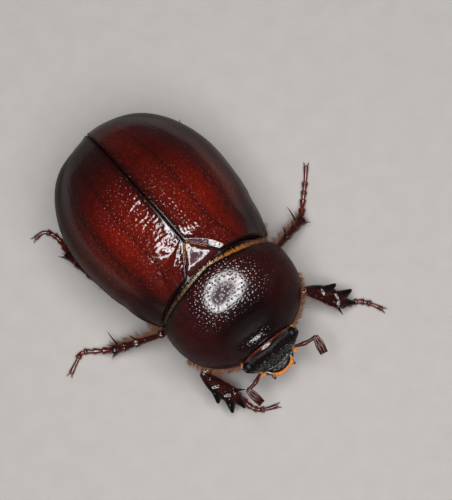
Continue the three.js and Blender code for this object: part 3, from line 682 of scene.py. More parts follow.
def dug_pits(grid, centres, radius, depth, seed):
    """A bowl at each centre, some wider than others, as heights below zero."""
    rng = np.random.default_rng(seed)
    sizes = radius * rng.uniform(0.75, 1.2, len(centres))
    tree = kdtree.KDTree(len(centres))
    for k, centre in enumerate(centres):
        tree.insert(centre, k)
    tree.balance()
    found = [tree.find(p)[1:] for p in grid.reshape(-1, 3)]
    share = np.array([distance / sizes[k] for k, distance in found]).reshape(grid.shape[:2])
    return -depth * np.maximum(0, 1 - share**2) + 0.12 * depth * hump(share, 1.15, 0.2)


# %% [markdown]
# ### Wing cases
# Each wing case is a quarter of an egg with a rolled rim. Beside the seam runs a fine rib, and round the
# scutellum the shell swells. Faint furrows run along it, the shoulder and the rear have a low lump, and near
# the scutellum the skin is wrinkled crosswise, which breaks up any reflection there. Three lines of wider
# punctures follow the seam. The rear end is drawn in a little, so that the two cases round off together.


# %% Wing cases
ELYTRON_SIZE = (401, 221)  # rows and columns
MOUND = {LEFT: 0.6, RIGHT: 1.15}  # how much wider than the seam rib the swelling beside the scutellum is
# the mound rises by its slope up to its edge and drops beyond it, over a way of fall mm
MOUND_HEIGHT = Sizes(slope=0.09, drop=0.1, fall=0.3, rib=0.13)
SEAM_GROOVE = Sizes(depth=0.12, half_width=0.037, wider_behind=0.02)
# ridges as height, distance of the middle and half width: a bead, the groove inside it, and the rounded edge
SEAM_RIB = ((0.014, 0.12, 0.06), (-0.012, 0.3, 0.1))
SIDE_RIM = ((0.05, 0.16, 0.07), (-0.045, 0.34, 0.09), (-0.14, 0, 0.06))
BASE_RIM = (-0.16, 0, 0.1)
FURROWS = Sizes(at=(0.255, 0.475, 0.62), depth=0.007, half_width=0.01)  # as shares of the way across
SEAM_SLOPE_WIDTH = 3.5  # how far from the seam the shells lean towards it
# each line of punctures has its distance from the seam and the place where it starts
SEAM_PITS = Sizes(lines=((0.6, 5.4), (1.0, 2.9), (1.25, 3.4)), end=13.0, step=0.45, radius=0.066, depth=0.03)
END_ROUNDING = Sizes(pull=0.42, x=-0.3, half_width=1.6, length=3.0)


def elytron_grid(side, inset, rows, columns):
    u, v = unit_grid(rows, columns)
    base_y = ELYTRA.base_y - ELYTRA.shoulder_sweep * np.sin(v * 90 * RAD) ** ELYTRA.shoulder_curve
    y = mix(base_y, ELYTRA.end_y - inset, np.sin(u * 90 * RAD) ** 1.2)
    half_width = np.maximum(elytra_half_width(y, inset), 1e-4)
    beside = np.where(y < SCUTELLUM.tip_y, scutellum_half_width(y) + GAP / 2, 0)
    seam_angle = np.arcsin(np.minimum(1, (GAP / 2 + beside) / half_width) ** (ARCH / 2))
    crown = np.maximum(elytra_top(y, inset), elytra_edge(y))
    grid = arch(mix(seam_angle, 90 * RAD, v), y, half_width, crown, elytra_edge(y))
    return grid * (side, 1, 1)


def elytron_relief(grid, v, side):
    base, tip, seam, edge = edge_distances(grid)
    x, y = np.abs(grid[..., 0]), grid[..., 1]
    near_scutellum = 1 - fade(y, 1.9, 3.2)
    before_seam = 1 - fade(y, 2.2, 3.2)
    behind = fade(y, 2.8, 4.0)
    groove_reach = SEAM_GROOVE.half_width + SEAM_GROOVE.wider_behind * behind
    height = -SEAM_GROOVE.depth * np.exp(-((seam / groove_reach) ** (5 - 3 * before_seam)))
    height += ridges(seam, *SEAM_RIB) * (1 - near_scutellum) * (1 - behind)

    mound_edge = MOUND_HEIGHT.rib + MOUND[side] * np.sin(np.clip((2.6 - y) / 3.0, 0, 1) * math.pi) ** 0.8
    beyond = np.maximum(0, seam - mound_edge)
    drop = MOUND_HEIGHT.drop * (1 - np.exp(-beyond / MOUND_HEIGHT.fall))
    height += (MOUND_HEIGHT.slope * np.minimum(seam, mound_edge) - drop) * before_seam
    height += 0.008 * rough_field(grid, 0.2, seed=13) * (beyond < 0.01) * near_scutellum
    for furrow in FURROWS.at:
        groove = FURROWS.depth * hump(v, furrow, FURROWS.half_width)
        height -= groove * fade(base, 2.0, 4.0) * fade(tip, 0.8, 2.5)

    slope = seam * hump(seam, 0, SEAM_SLOPE_WIDTH)
    if side == LEFT:
        height -= 0.205 * slope * fade(y, 1.4, 3.9)
    else:
        height -= (0.16 + 0.07 * fade(y, 3.4, 5.2) + 0.1 * (1 - fade(y, 1.8, 2.7))) * slope
    height += ridges(edge, *SIDE_RIM) + ridges(base, BASE_RIM)
    shoulder_lump = 0.14 * hump(x, 4.7, 1.1) * hump(y, 1.0, 1.0)
    rear_lump = 0.08 * hump(x, 3.2, 1.0) * hump(y, 12.3, 1.0)
    height += shoulder_lump + rear_lump

    wrinkled = hump(seam, 0, 2.2) * (1 - fade(y, 6.0, 9.5)) * fade(seam, 0.25, 0.5)
    if side == LEFT:
        height += (0.008 + 0.012 * hump(y, 3.0, 0.9)) * rough_field(grid, 0.2, seed=7) * wrinkled
    else:
        crosswise = rough_field(grid * (1, 3.2, 1), 0.85, seed=2)
        crosswise += 0.5 * rough_field(grid * (1, 2.2, 1), 0.4, seed=5)
        height += (0.052 + 0.02 * hump(y, 2.6, 1.1) - 0.022 * hump(y, 4.3, 0.9)) * crosswise * wrinkled
    height += 0.012 * rough_field(grid * (1.6, 0.6, 1), 1.1, seed=9)
    return height * fade(tip, 0.0, 0.25)


def seam_punctures(grid, seed):
    """Places along three lines beside the seam, one behind another."""
    rng = np.random.default_rng(seed)
    seam = edge_distances(grid)[2]
    places = []
    for distance, start in SEAM_PITS.lines:
        for y in np.arange(start, SEAM_PITS.end, SEAM_PITS.step):
            row = np.argmin(np.abs(grid[:, 0, 1] - y - rng.uniform(-0.08, 0.08)))
            places.append(grid[row, np.argmin(np.abs(seam[row] - distance - rng.uniform(-0.05, 0.05)))])
    return np.array(places)


# The wing cases' dark tones, and painted shade: a dark band along the base in the gap below the pronotum, the
# rear darkening, from further forward on the left case than on the right, and the left case's outer flank.
def elytron_dark_tone_and_painted_shade(grid, v, side):
    x, y, base = np.abs(grid[..., 0]), grid[..., 1], edge_distances(grid)[0]
    shoulder = 0.9 * hump(x, 5.3, 1.1) * hump(y, 0.2, 1.6)
    painted_rear_shade = 0.62 * fade(y, 3.2, 10.5) if side == LEFT else 0.95 * fade(y, 5.0, 12.0)
    end = 0.35 * fade(y + 1.2 * v, 12.6, 15.2)
    painted_base_shade = 0.8 * hump(base, 0, 0.22)
    near_base = 0.45 * (1 - fade(y, 1.0, 5.5))
    painted_left_flank_shade = 0.2 * fade(grid[..., 0], 1.8, 3.2) * fade(y, 4.0, 8.0)
    return np.clip(shoulder + painted_rear_shade + end + painted_base_shade + near_base + painted_left_flank_shade, 0, 1)


def elytron_wear(grid, v, side):
    x, y, seam = np.abs(grid[..., 0]), grid[..., 1], edge_distances(grid)[2]
    shoulder = 0.8 * hump(x, 5.4, 1.7) * hump(y, 0.4, 1.8)
    along_seam = np.exp(-((seam / 0.16) ** 4)) * fade(y, 2.3, 3.1)
    worn = np.clip(fade(v, 0.48, 0.74) + fade(y, 11.0, 14.0) * 0.8 + shoulder + along_seam, 0, 1)
    return worn * (0.87 if side == LEFT else 1)


def drawn_in(points):
    """The wing cases' shared end, drawn in so that it rounds off instead of coming to a point."""
    across = hump(points[..., 0], END_ROUNDING.x, END_ROUNDING.half_width)
    along = fade(points[..., 1], ELYTRA.end_y - END_ROUNDING.length, ELYTRA.end_y)
    return points - (END_ROUNDING.pull * across * along)[..., None] * (0, 1, 0)


def shell_map(grid, v):
    """The shell's UV map: 0 at the seam and 1 at the side edge, 0 at the base and 1 at the end."""
    return np.stack([v, grid[..., 1] / ELYTRA.end_y], -1).reshape(-1, 2)


v, few_v = unit_grid(*ELYTRON_SIZE)[1], unit_grid(*inner_size(*ELYTRON_SIZE))[1]
for side, side_name in SIDES:
    grid = elytron_grid(side, 0, *ELYTRON_SIZE)
    inner = elytron_grid(side, PLATE, *inner_size(*ELYTRON_SIZE))
    bowls = dug_pits(grid, seam_punctures(grid, 40 + side), SEAM_PITS.radius, SEAM_PITS.depth, seed=41)
    outer = raised(grid, elytron_relief(grid, v, side) + bowls)
    made = make_piece(
        "wing_case_" + side_name, plate_parts(drawn_in(outer), drawn_in(inner)),
        wing_case, HIND_PLACE, "wing_case", "elytron_" + side_name,
        uv=np.vstack([shell_map(grid, v), shell_map(inner, few_v)]),
        darkness=with_inner(elytron_dark_tone_and_painted_shade(grid, v, side), inner),
        worn=with_inner(elytron_wear(grid, v, side), inner),
    )
    print("wing case", side_name, "has", len(made.data.polygons), "faces")

# %% [markdown]
# ### Scutellum
# The scutellum is a small triangle with rounded corners that locks the wing cases together. It is domed just
# enough that its rim tips away on every side, and its skin is a little uneven.

# %% Scutellum
SCUTELLUM_SIZE = (61, 61)
SCUTELLUM_INSET = Sizes(front=0.35, tip=0.09)  # how far it reaches under the pronotum, and stops from the seam


def back_height(x, y):
    """The height of the wing cases' arch, which everything near their middle follows."""
    return mix(elytra_edge(y), elytra_top(y), (1 - (x / elytra_half_width(y)) ** 2) ** (1 / ARCH))


def scutellum_grid(inset, rows, columns):
    u, v = unit_grid(rows, columns)
    y = mix(SCUTELLUM.front_y - SCUTELLUM_INSET.front, SCUTELLUM.tip_y - SCUTELLUM_INSET.tip, u)
    half = scutellum_half_width(np.maximum(y, SCUTELLUM.front_y)) * (1 + 0.05 * np.sin(u * math.pi))
    half = half * np.sqrt(1 - np.clip((u - 0.86) / 0.14, 0, 1) ** 2 + 1e-6)
    x = half * mix(-1, 1, v)
    return np.stack([x, y, back_height(x, y) - SCUTELLUM.sink - inset], -1)


grid = scutellum_grid(0, *SCUTELLUM_SIZE)
base, tip, right, left = edge_distances(grid)
rim = np.minimum(np.minimum(left, right), tip)
front_rim = grid[..., 1] - SCUTELLUM.front_y + 0.17
to_rim = -0.06 * np.log(sum(np.exp(-d / 0.06) for d in (left, right, tip, np.maximum(front_rim, -0.3))))
bead_width = 0.38 + 0.38 * fade(tip, 1.9, 0.2)
relief = 0.13 * np.tanh(to_rim / bead_width) - 0.07 * hump(rim, 0, 0.04) - 0.5 * np.maximum(0, -front_rim)
relief += 0.011 * rough_field(grid, 0.25, seed=21)
inner = scutellum_grid(SCUTELLUM.thick, *inner_size(*SCUTELLUM_SIZE))
made = make_piece(
    "scutellum_shield", plate_parts(grid + UP * relief[..., None], inner),
    scutellum_finish, HIND_PLACE, "pronotum", "scutellum",
    darkness=with_inner(0.7 * hump(rim, 0, 0.05), inner, 0.0),
)
print("scutellum has", len(made.data.polygons), "faces")

# %% [markdown]
# ### Pronotum
# The pronotum is the shield over the front legs. Its surface is covered with round pits, each about 0.15 mm
# wide and 0.33 mm from the next. They are large enough to see as dots in a reflection and as sparks beside it,
# so they are dug into the mesh. The pits' centres are a grid shaken by random numbers with a fixed seed, and
# a k-d tree finds the nearest one for each point.

# %% Pronotum
PRONOTUM_SIZE = (211, 411)
PIT = Sizes(spacing=0.33, radius=0.072, depth=0.031)
FRONT_RIM = ((0.03, 0.15, 0.08), (-0.03, 0.33, 0.1), (-0.16, 0, 0.07))
PRONOTUM_SIDE_RIM = ((0.05, 0.15, 0.07), (-0.05, 0.33, 0.09), (-0.16, 0, 0.06))
HIND_RIM = (-0.2, 0, 0.12)


def pronotum_grid(inset, rows, columns):
    u, v = unit_grid(rows, columns)
    angle = mix(-90, 90, v) * RAD
    sweep = PRONOTUM.corner_sweep * np.abs(np.sin(angle)) ** PRONOTUM.corner_curve
    y = mix(PRONOTUM.hind_y - sweep, PRONOTUM.front_y, u)
    grid = arch(angle, y, pronotum_half_width(y, inset), pronotum_top(y, inset), pronotum_edge(y))
    grid[..., 2] -= pronotum_dip(grid[..., 0], y) * np.cos(angle)
    return grid


def pit_centres(grid, spacing, seed, keep=0.9):
    """Places on a grid about `spacing` apart, shaken so that no rows show."""
    rng = np.random.default_rng(seed)
    length = np.linalg.norm(np.diff(grid, axis=0), axis=2).sum(0).max()
    share = spacing / length
    centres = []
    for row in np.arange(spacing / 2, length, spacing):
        i = np.clip(row / length + rng.uniform(-0.3, 0.3) * share, 0, 1) * (len(grid) - 1)
        line = grid[int(i)]
        along = run_along(line)
        places = np.arange(rng.uniform(0, spacing), along[-1], spacing)
        places = places + rng.uniform(-0.32, 0.32, len(places)) * spacing
        rows = np.clip(i + rng.uniform(-0.35, 0.35, len(places)) * share * len(grid), 0, len(grid) - 1)
        columns = np.interp(places, along, np.arange(len(line))).round().astype(int)
        chosen = rng.uniform(size=len(places)) < keep
        centres.append(grid[rows.round().astype(int), columns][chosen])
    return np.vstack(centres)


grid = pronotum_grid(0, *PRONOTUM_SIZE)
hind, front, right, left = edge_distances(grid)
side_edge = np.minimum(left, right)
x, y = grid[..., 0], grid[..., 1]
dip_x, dip_y = PRONOTUM.dip_x, PRONOTUM.dip_y
centres = pit_centres(grid, PIT.spacing, seed=11)
inside_the_rims = fade(front, 0.3, 0.5) * fade(side_edge, 0.25, 0.4)
relief = dug_pits(grid, centres, PIT.radius, PIT.depth, seed=12) * inside_the_rims
relief += ridges(front, *FRONT_RIM) + ridges(side_edge, *PRONOTUM_SIDE_RIM) + ridges(hind, HIND_RIM)
relief += 0.012 * rough_field(grid, 1.3, seed=31)
relief -= 0.05 * x * hump(x, -0.3, 2.4) * hump(y, -3.0, 2.0)  # the crown leans a hair
relief += 0.015 * rough_field(grid, 0.13, seed=33) * hump(x, dip_x, 2.0) * hump(y, dip_y, 0.8)
front_half = hump(x, 0.1, 3.3) * fade(-y, 2.2, 4.8) * 0.95
# painted shade: a dark band along the hind edge stands for the shadow in the gap under the waist fringe; also
# darker lines along the front and side rims
painted_hind_shade_and_dark_rims = np.exp(-((hind / 0.42) ** 4)) + 0.6 * hump(np.minimum(front, side_edge), 0, 0.1)
in_dip = hump(x, dip_x, 1.5) * hump(y, dip_y - 0.25, 0.5)
worn = np.clip(fade(np.abs(x), 2.6, 4.4) + fade(-y, 3.5, 4.8) * (1 - 0.9 * in_dip), 0, 1)
worn = np.maximum(worn, hump(hind, 0, 0.35)) * (1 - hump(side_edge, 0.13, 0.09))
worn = np.maximum(worn, 1 - fade(front, 0.3, 0.5))
inner = pronotum_grid(PLATE, *inner_size(*PRONOTUM_SIZE))
made = make_piece(
    "pronotum_shield", plate_parts(raised(grid, relief), inner),
    shield_finish, FORE_PLACE, "pronotum", "pronotum",
    darkness=with_inner(np.clip(front_half + painted_hind_shade_and_dark_rims, 0, 1), inner), worn=with_inner(worn, inner),
)
print("pronotum has", len(made.data.polygons), "faces and", len(centres), "pits")

# %% [markdown]
# ## Legs
# A beetle's leg is a chain of hard tubes: the hip, the thigh, the shin and a foot of five beads with two
# claws. The front shin is a digging blade with three blunt teeth on its outer edge. The others flare towards
# the foot and end in a crown of spines. A tube is swept along a smooth line through its measured points, with
# one half size across and one through it at every place, and it ends in round caps.


# %% Lines and limbs
def smooth_line(points, count):
    """A Catmull-Rom line through the points, as `count` points evenly along it."""
    points = np.asarray(points, float)
    held = np.vstack([2 * points[0] - points[1], points, 2 * points[-1] - points[-2]])
    t = np.linspace(0, 1, 17)[:, None]
    spans = [
        b + 0.5 * t * (c - a + t * (2 * a - 5 * b + 4 * c - d + t * (3 * b - a - 3 * c + d)))
        for a, b, c, d in zip(held, held[1:], held[2:], held[3:])
    ]
    fine = np.vstack(spans)
    return points_at(fine, np.linspace(0, run_along(fine)[-1], count))


CAP_RINGS = 4


def limb(line, across, wide, thick, sides=24, caps=(0.7, 0.7), roundness=2.0):
    """A tube along a line with half sizes wide and thick, closed by caps that stand out by a share of thick."""
    line = np.asarray(line, float)
    wide, thick = (np.broadcast_to(size, len(line)).astype(float) for size in (wide, thick))
    along = unit(np.gradient(line, axis=0))
    rise = np.linspace(90, 0, CAP_RINGS + 1)[:-1] * RAD
    start = line[0] - along[0] * (caps[0] * thick[0] * np.sin(rise))[:, None]
    end = line[-1] + along[-1] * (caps[1] * thick[-1] * np.sin(rise[::-1]))[:, None]
    ends = (CAP_RINGS, CAP_RINGS)
    shrink = np.concatenate([np.cos(rise), np.ones(len(line)), np.cos(rise[::-1])])
    centres = np.vstack([start, line, end])
    along = np.pad(along, (ends, (0, 0)), mode="edge")
    wide, thick = (np.pad(size, ends, mode="edge") * shrink for size in (wide, thick))
    side_way = unit(across - along * (np.asarray(across) * along).sum(-1, keepdims=True))
    up_way = np.cross(side_way, along)
    angle = np.linspace(0, 2 * math.pi, sides, endpoint=False)
    over, up = (signed_power(wave, 2 / roundness) for wave in (np.cos(angle), np.sin(angle)))
    return (
        centres[:, None]
        + side_way[:, None] * (wide[:, None] * over)[..., None]
        + up_way[:, None] * (thick[:, None] * up)[..., None]
    )


def tube_parts(grid):
    return grid.reshape(-1, 3), grid_faces(grid.shape[0], grid.shape[1], wrap=True)


def tube(*line_and_sizes, **shape):
    return tube_parts(limb(*line_and_sizes, **shape))


def with_ends(grid):
    """A tube's points and faces, each end closed by a fan round its middle."""
    rows, sides = grid.shape[:2]
    points, faces = tube_parts(grid)
    points = np.vstack([points, grid[0].mean(0), grid[-1].mean(0)])
    for row, hub in ((0, rows * sides), (rows - 1, rows * sides + 1)):
        faces += [[row * sides + k, row * sides + (k + 1) % sides, hub] for k in range(sides)]
    return points, faces


ASKEW = (0.13, 0.21, 0.97)  # across for round spines: any way that none of them runs along


def end_values(numbers):
    """Values of a tube's points, and 1 for the two middles of its ends."""
    return np.append(numbers.ravel(), [1, 1])


def cone(root, tip, radius, tip_radius=0.012, through=None, sides=12, rows=7):
    """A spine or tooth from root to tip, bent through one more point if it is given."""
    points = [root, tip] if through is None else [root, through, tip]
    size = mix(radius, tip_radius, np.linspace(0, 1, rows) ** 0.9)
    return tube(smooth_line(points, rows), ASKEW, size, size, sides)


def swell(end, middle, t, power=0.7):
    return mix(end, middle, np.sin(np.clip(t, 0, 1) * math.pi) ** power)


def stretches(line, shares):
    """The parts of a line between shares of its length, each with 0 to 1 along it."""
    last = len(line) - 1
    for start, end in zip(shares, shares[1:]):
        part = line[round(start * last) : round(end * last) + 1].copy()
        yield part, np.linspace(0, 1, len(part))


def fused(parts, voxel, smoothing):
    """Overlapping closed parts as one skin: a voxel remesh, then a light smoothing, all in millimetres."""
    soft = put_in_scene("parts", raw_mesh("parts", *joined(parts)))
    remesh = soft.modifiers.new("skin", "REMESH")
    remesh.mode = "VOXEL"
    remesh.voxel_size = voxel
    smooth = soft.modifiers.new("smooth", "SMOOTH")
    smooth.iterations = smoothing
    smooth.factor = 0.5
    whole = evaluated_mesh(soft)
    return np.array([vertex.co for vertex in whole.vertices]), [list(face.vertices) for face in whole.polygons]


# %% Leg sizes and the stance of each leg
# Angles are in degrees in the floor's plane: 0 points outwards, 90 to the rear and -90 to the front.
LEG_SIZES = dict(
    front=Sizes(hip=(1.95, -4.5, 2.2), coxa=0.8, thigh=(0.62, 0.45), femur=3.2, tibia=4.25, tarsus=3.15),
    middle=Sizes(hip=(2.3, 0.6, 1.7), coxa=0.72, thigh=(0.62, 0.42), femur=3.8, tibia=4.2, tarsus=4.4),
    hind=Sizes(hip=(2.7, 4.4, 1.7), coxa=0.75, thigh=(0.8, 0.45), femur=3.9, tibia=5.5, tarsus=3.7),
)
STANCE = dict(
    front_left=Sizes(femur=-16, knee_z=2.6, tibia=-50, ankle_z=0.8, tarsus=(-8, -26, -46, -58, -64)),
    front_right=Sizes(femur=-17, knee_z=2.6, tibia=-104, ankle_z=0.8, tarsus=(-96, -104, -128, -150, -158)),
    middle_left=Sizes(femur=-40, knee_z=2.9, tibia=12, ankle_z=0.75, tarsus=(45, 43, 42, 43, 46)),
    middle_right=Sizes(femur=-22, knee_z=2.5, tibia=27, ankle_z=0.75, tarsus=(39, 39, 34, -18, -24)),
    hind_left=Sizes(femur=22, knee_z=2.6, tibia=92, ankle_z=0.75, tarsus=(105, 110, 120, 132, 140)),
    hind_right=Sizes(femur=-7, knee_z=2.6, tibia=84, ankle_z=0.75, tarsus=(103, 95, 80, 55, 5)),
)
FOOT_JOINTS = 5
SOLE_Z = (0.48, 0.27, 0.2, 0.18, 0.17)  # height of each foot joint's far end
BLADE_SOCKET = (3.55, -0.3)  # along and outward: where the foot joins the digging blade


def heading(degrees, side):
    return np.array([side * math.cos(degrees * RAD), math.sin(degrees * RAD), 0])


def towards(start, degrees, length, z, side):
    """The end of a link that has a given length, heading and final height."""
    flat = math.sqrt(length**2 - (z - start[2]) ** 2)
    end = start + heading(degrees, side) * flat
    return np.array([end[0], end[1], z])


def leg_frame(pair, side, side_name):
    sizes, stance = LEG_SIZES[pair], STANCE[f"{pair}_{side_name}"]
    hip = np.array(sizes.hip) * (side, 1, 1)
    knee = towards(hip, stance.femur, sizes.femur, stance.knee_z, side)
    ankle = towards(knee, stance.tibia, sizes.tibia, stance.ankle_z, side)
    along = unit(ankle - knee)
    outward = unit(np.array([along[1], -along[0], 0])) * -side
    start = knee + along * BLADE_SOCKET[0] + outward * BLADE_SOCKET[1] if pair == "front" else ankle
    foot = [start]
    for degrees, z in zip(stance.tarsus, SOLE_Z):
        foot.append(foot[-1] * (1, 1, 0) + heading(degrees, side) * sizes.tarsus / FOOT_JOINTS + UP * z)
    foot = np.array(foot)
    return Sizes(hip=hip, knee=knee, ankle=ankle, along=along, outward=outward, foot=foot, sizes=sizes)


# %% [markdown]
# ### The digging blade
# Five tubes are laid on each other, a flat shaft, a ridge along its top and three teeth, and a voxel remesh
# makes one skin of them. That leaves soft valleys between the teeth, as on the real blade, where a boolean
# would leave creases. The spur at its inner end moves in a socket, so it stays a part of its own.

# %% The shapes of a front shin
BLADE_VOXEL, BLADE_SMOOTHING = 0.04, 5
BLADE_SHAFT = [
    (0.0, 0.1, 0.36, 0.3), (0.7, 0.18, 0.54, 0.3), (1.5, 0.22, 0.66, 0.28), (2.4, 0.1, 0.72, 0.25),
    (3.0, 0.0, 0.68, 0.23), (3.6, -0.1, 0.46, 0.2),
]  # along, outward, half width, half thickness
BLADE_TEETH = [  # root and tip, each along and outward, and the radius at the root
    ((1.6, 0.25), (2.46, 1.18), 0.7), ((2.85, 0.15), (3.88, 1.06), 0.68), ((3.0, -0.1), (4.45, 0.15), 0.6),
]
SPUR = ((3.0, -0.5), (3.6, -1.0))


def blade_point(leg, along, outward, up=0.0):
    third = np.cross(leg.along, leg.outward)
    third = third * np.sign(third[2])
    return leg.knee + leg.along * along + leg.outward * outward + third * up


def digging_shin(leg):
    stations = np.array(BLADE_SHAFT)
    line = smooth_line([blade_point(leg, a, b) for a, b in stations[:, :2]], 40)
    share = np.linspace(0, 1, 40)
    at = np.linspace(0, 1, len(stations))
    wide, thick = (np.interp(share, at, stations[:, k]) for k in (2, 3))
    parts = [tube(line, leg.outward, wide, thick, sides=40, roundness=1.7)]
    ridge = smooth_line([blade_point(leg, a, 0.05, 0.2) for a in (0.4, 1.8, 3.1)], 20)
    parts.append(tube(ridge, leg.outward, wide=0.09, thick=0.1, sides=12))
    for root, tip, radius in BLADE_TEETH:
        ends = blade_point(leg, *root), blade_point(leg, *tip)
        size = mix(radius, 0.13, np.linspace(0, 1, 9) ** 0.9)
        parts.append(tube(smooth_line(ends, 9), leg.outward, size, size * 0.5 + 0.02, sides=20))
    skin = fused(parts, BLADE_VOXEL, BLADE_SMOOTHING)
    spur = cone(blade_point(leg, *SPUR[0]), blade_point(leg, *SPUR[1]), 0.15, 0.02)
    points, faces = joined([skin, spur])
    from_knee = points - leg.knee
    outward, along = from_knee @ leg.outward, from_knee @ leg.along
    teeth = fade(outward, 0.3, 0.8) + fade(along, 3.3, 4.0)
    darkness = np.clip(0.35 + teeth + 0.4 * fade(-outward, 0.3, 0.5), 0, 1)
    return points, faces, darkness


# %% [markdown]
# ### The walking shins
# The middle and hind shins widen towards the foot. Two slanting collars, each with a row of short spines, and
# a crown of spines round the end brace the beetle when it digs. Two long spurs stand beside the foot.

# %% The shapes of a middle or hind shin
COLLARS = ((0.5, 0.09), (0.76, 0.07))  # place along the shin, height in millimetres
SHIN_SPURS = (  # root and tip as share of the length, outward, upward
    ((0.9, 0.24, 0.02), (1.06, 1.55, 0.05)), ((0.95, 0.28, -0.06), (1.15, 0.6, -0.15)),
    ((0.94, -0.26, 0.08), (1.1, -0.66, 0.2)), ((0.5, 0.22, 0.08), (0.62, 0.7, 0.15)),
)
CROWN = (0.985, 0.11)  # as a collar's: the ring of spines round the shin's end
COLLAR_SLANT = 0.035  # how far a collar's lowest and highest place are from its middle, as a share of the shin
SHIN_ROWS, SHIN_SIDES = 90, 48


def walking_shin(leg):
    knee, ankle, outward = leg.knee, leg.ankle, leg.outward
    length = np.linalg.norm(ankle - knee)
    third = np.cross(leg.along, outward)
    line = smooth_line([knee, mix(knee, ankle, 0.5) + UP * 0.05, ankle], SHIN_ROWS)
    share = np.linspace(0, 1, SHIN_ROWS)
    t = np.pad(share, CAP_RINGS, mode="edge")[:, None]
    half = mix(0.19, 0.33, share**1.3)
    grid = limb(line, outward, half * 1.1, half, SHIN_SIDES, caps=(0.8, 0.25), roundness=2.4)
    around = np.linspace(0, 2 * math.pi, SHIN_SIDES, endpoint=False)[None]
    relief = 0 * t * around
    for place, height in COLLARS:
        rise = t - place - COLLAR_SLANT * np.sin(around)
        relief = relief + height * np.where(rise < 0, hump(rise, 0, 0.045), hump(rise, 0, 0.012))
    groove = fade(t, 0.1, 0.3) * (1 - fade(t, 0.85, 0.95))
    relief += 0.09 * hump(t, 1.0, 0.06) - 0.03 * hump(around, math.pi / 2, 0.3) * groove
    parts = [tube_parts(raised(grid, relief, True))]
    for place, height in COLLARS + (CROWN,):
        slant, count = (COLLAR_SLANT, 7) if (place, height) in COLLARS else (0, 11)
        for k in range(count):
            turn = 2 * math.pi * (k + 0.3) / count
            radial = outward * math.cos(turn) + third * math.sin(turn)
            run = leg.along * length * (place + slant * math.sin(turn))
            root = knee + run + radial * float(np.interp(place, share, half))
            tip = root + leg.along * (0.3 + 0.08 * (k % 3)) + radial * 0.14
            if tip[2] > 0.03:
                parts.append(cone(root, tip, 0.055, 0.012, sides=6, rows=4))
    for ends in SHIN_SPURS:
        root, tip = (knee + leg.along * length * share + outward * out + UP * up for share, out, up in ends)
        tip[2] = max(tip[2], 0.08)
        parts.append(cone(root, tip, 0.1, 0.018, mix(root, tip, 0.5) + leg.along * 0.06))
    points, faces = joined(parts)
    along = (points - knee) @ leg.along / length
    return points, faces, np.clip(fade(along, 0.9, 1.02) * 0.8, 0, 1)


# %% [markdown]
# ### Feet and claws
# Each foot joint is a small bell: narrow where it turns in the last one, wide at its far end. The last joint
# is the longest and holds two curved claws. The feet lie on the floor, so no joint's line is lower than its
# own half thickness.

# %% A foot, a thigh and a hip
FOOT_SHARES = (0, 0.21, 0.39, 0.55, 0.71, 1)
OFF_FLOOR = 0.01
CLAW = Sizes(reach=0.4, spread=0.15, radius=0.07)


def foot_parts(leg):
    fine = smooth_line(leg.foot, 101)
    parts = []
    for k, (line, t) in enumerate(stretches(fine, FOOT_SHARES)):
        last = k == FOOT_JOINTS - 1
        half = (0.13 + 0.07 * t**1.6) if last else (0.13 + 0.13 * t**1.3) * (1.15 if k == 0 else 1)
        line[:, 2] = np.maximum(line[:, 2], half + OFF_FLOOR)
        across = np.cross(line[-1] - line[0], UP)
        parts.append(tube(line, across, half * 1.05, half, sides=18, caps=(0.5, 0.45)))
    ahead = unit((fine[-1] - fine[-4]) * (1, 1, 0))
    level = np.cross(ahead, UP)
    for way in (-1, 1):
        root = fine[-1] + level * 0.07 * way + ahead * 0.02
        knuckle = root + ahead * CLAW.reach * 0.5 + level * 0.55 * CLAW.spread * way + UP * 0.07
        tip = root + ahead * CLAW.reach + level * CLAW.spread * way
        tip[2] = 0.06
        parts.append(cone(root, tip, CLAW.radius, 0.012, knuckle, sides=10, rows=10))
    return joined(parts)


def thigh_parts(leg):
    hip, knee = leg.hip, leg.knee
    wide, thick = leg.sizes.thigh
    across = np.array([0, 1, 0.2])
    t = np.linspace(0, 1, 50)
    line = smooth_line([hip, mix(hip, knee, 0.5), knee], 50)
    wide, thick = swell(0.3, wide, t), swell(0.28, thick, t)
    grid = limb(line, across, wide, thick, sides=40, caps=(0.9, 0.9), roundness=2.2)
    grid = raised(grid, 0.012 * rough_field(grid, 0.6, seed=41), True)
    bead = smooth_line([mix(hip, knee, -0.02) - UP * 0.1, mix(hip, knee, 0.2) - UP * 0.12], 14)
    half = swell(0.2, 0.4, np.linspace(0.1, 1, 14))
    return joined([tube_parts(grid), tube(bead, across, half, half * 0.9, sides=24)])


def hip_parts(leg, side):
    hip = leg.hip
    places = [(-1.5 * side, 0.25, 0.35), (-0.4 * side, 0.08, 0.1), (0.35 * side, 0, -0.05)]
    line = smooth_line([hip + offset for offset in places], 40)
    half = swell(0.25, leg.sizes.coxa, np.linspace(0, 1, 40))
    grid = limb(line, (0, 1.0, 0), half * 1.03, half * 0.97, sides=40, caps=(0.8, 0.8))
    return tube_parts(raised(grid, 0.02 * rough_field(grid, 0.5, seed=43), True))


# %% Make the six legs
leg_frames = {}
for pair in LEG_SIZES:
    place = FORE_PLACE if pair == "front" else HIND_PLACE
    for side, side_name in SIDES:
        leg = leg_frame(pair, side, side_name)
        name = f"{pair}_{side_name}"
        leg_frames[name] = leg
        *shin, darkness = digging_shin(leg) if pair == "front" else walking_shin(leg)
        made = [
            make_piece("hip_" + name, hip_parts(leg, side), under_finish, place, "leg", "coxa_" + name),
            make_piece("thigh_" + name, thigh_parts(leg), leg_finish, place, "leg", "femur_" + name),
            make_piece("shin_" + name, shin, leg_finish, place, "leg", "tibia_" + name, darkness=darkness),
            make_piece("foot_" + name, foot_parts(leg), foot_finish, place, "foot", "tarsus_" + name),
        ]
        print(name, "leg:", [len(piece.data.polygons) for piece in made], "faces")

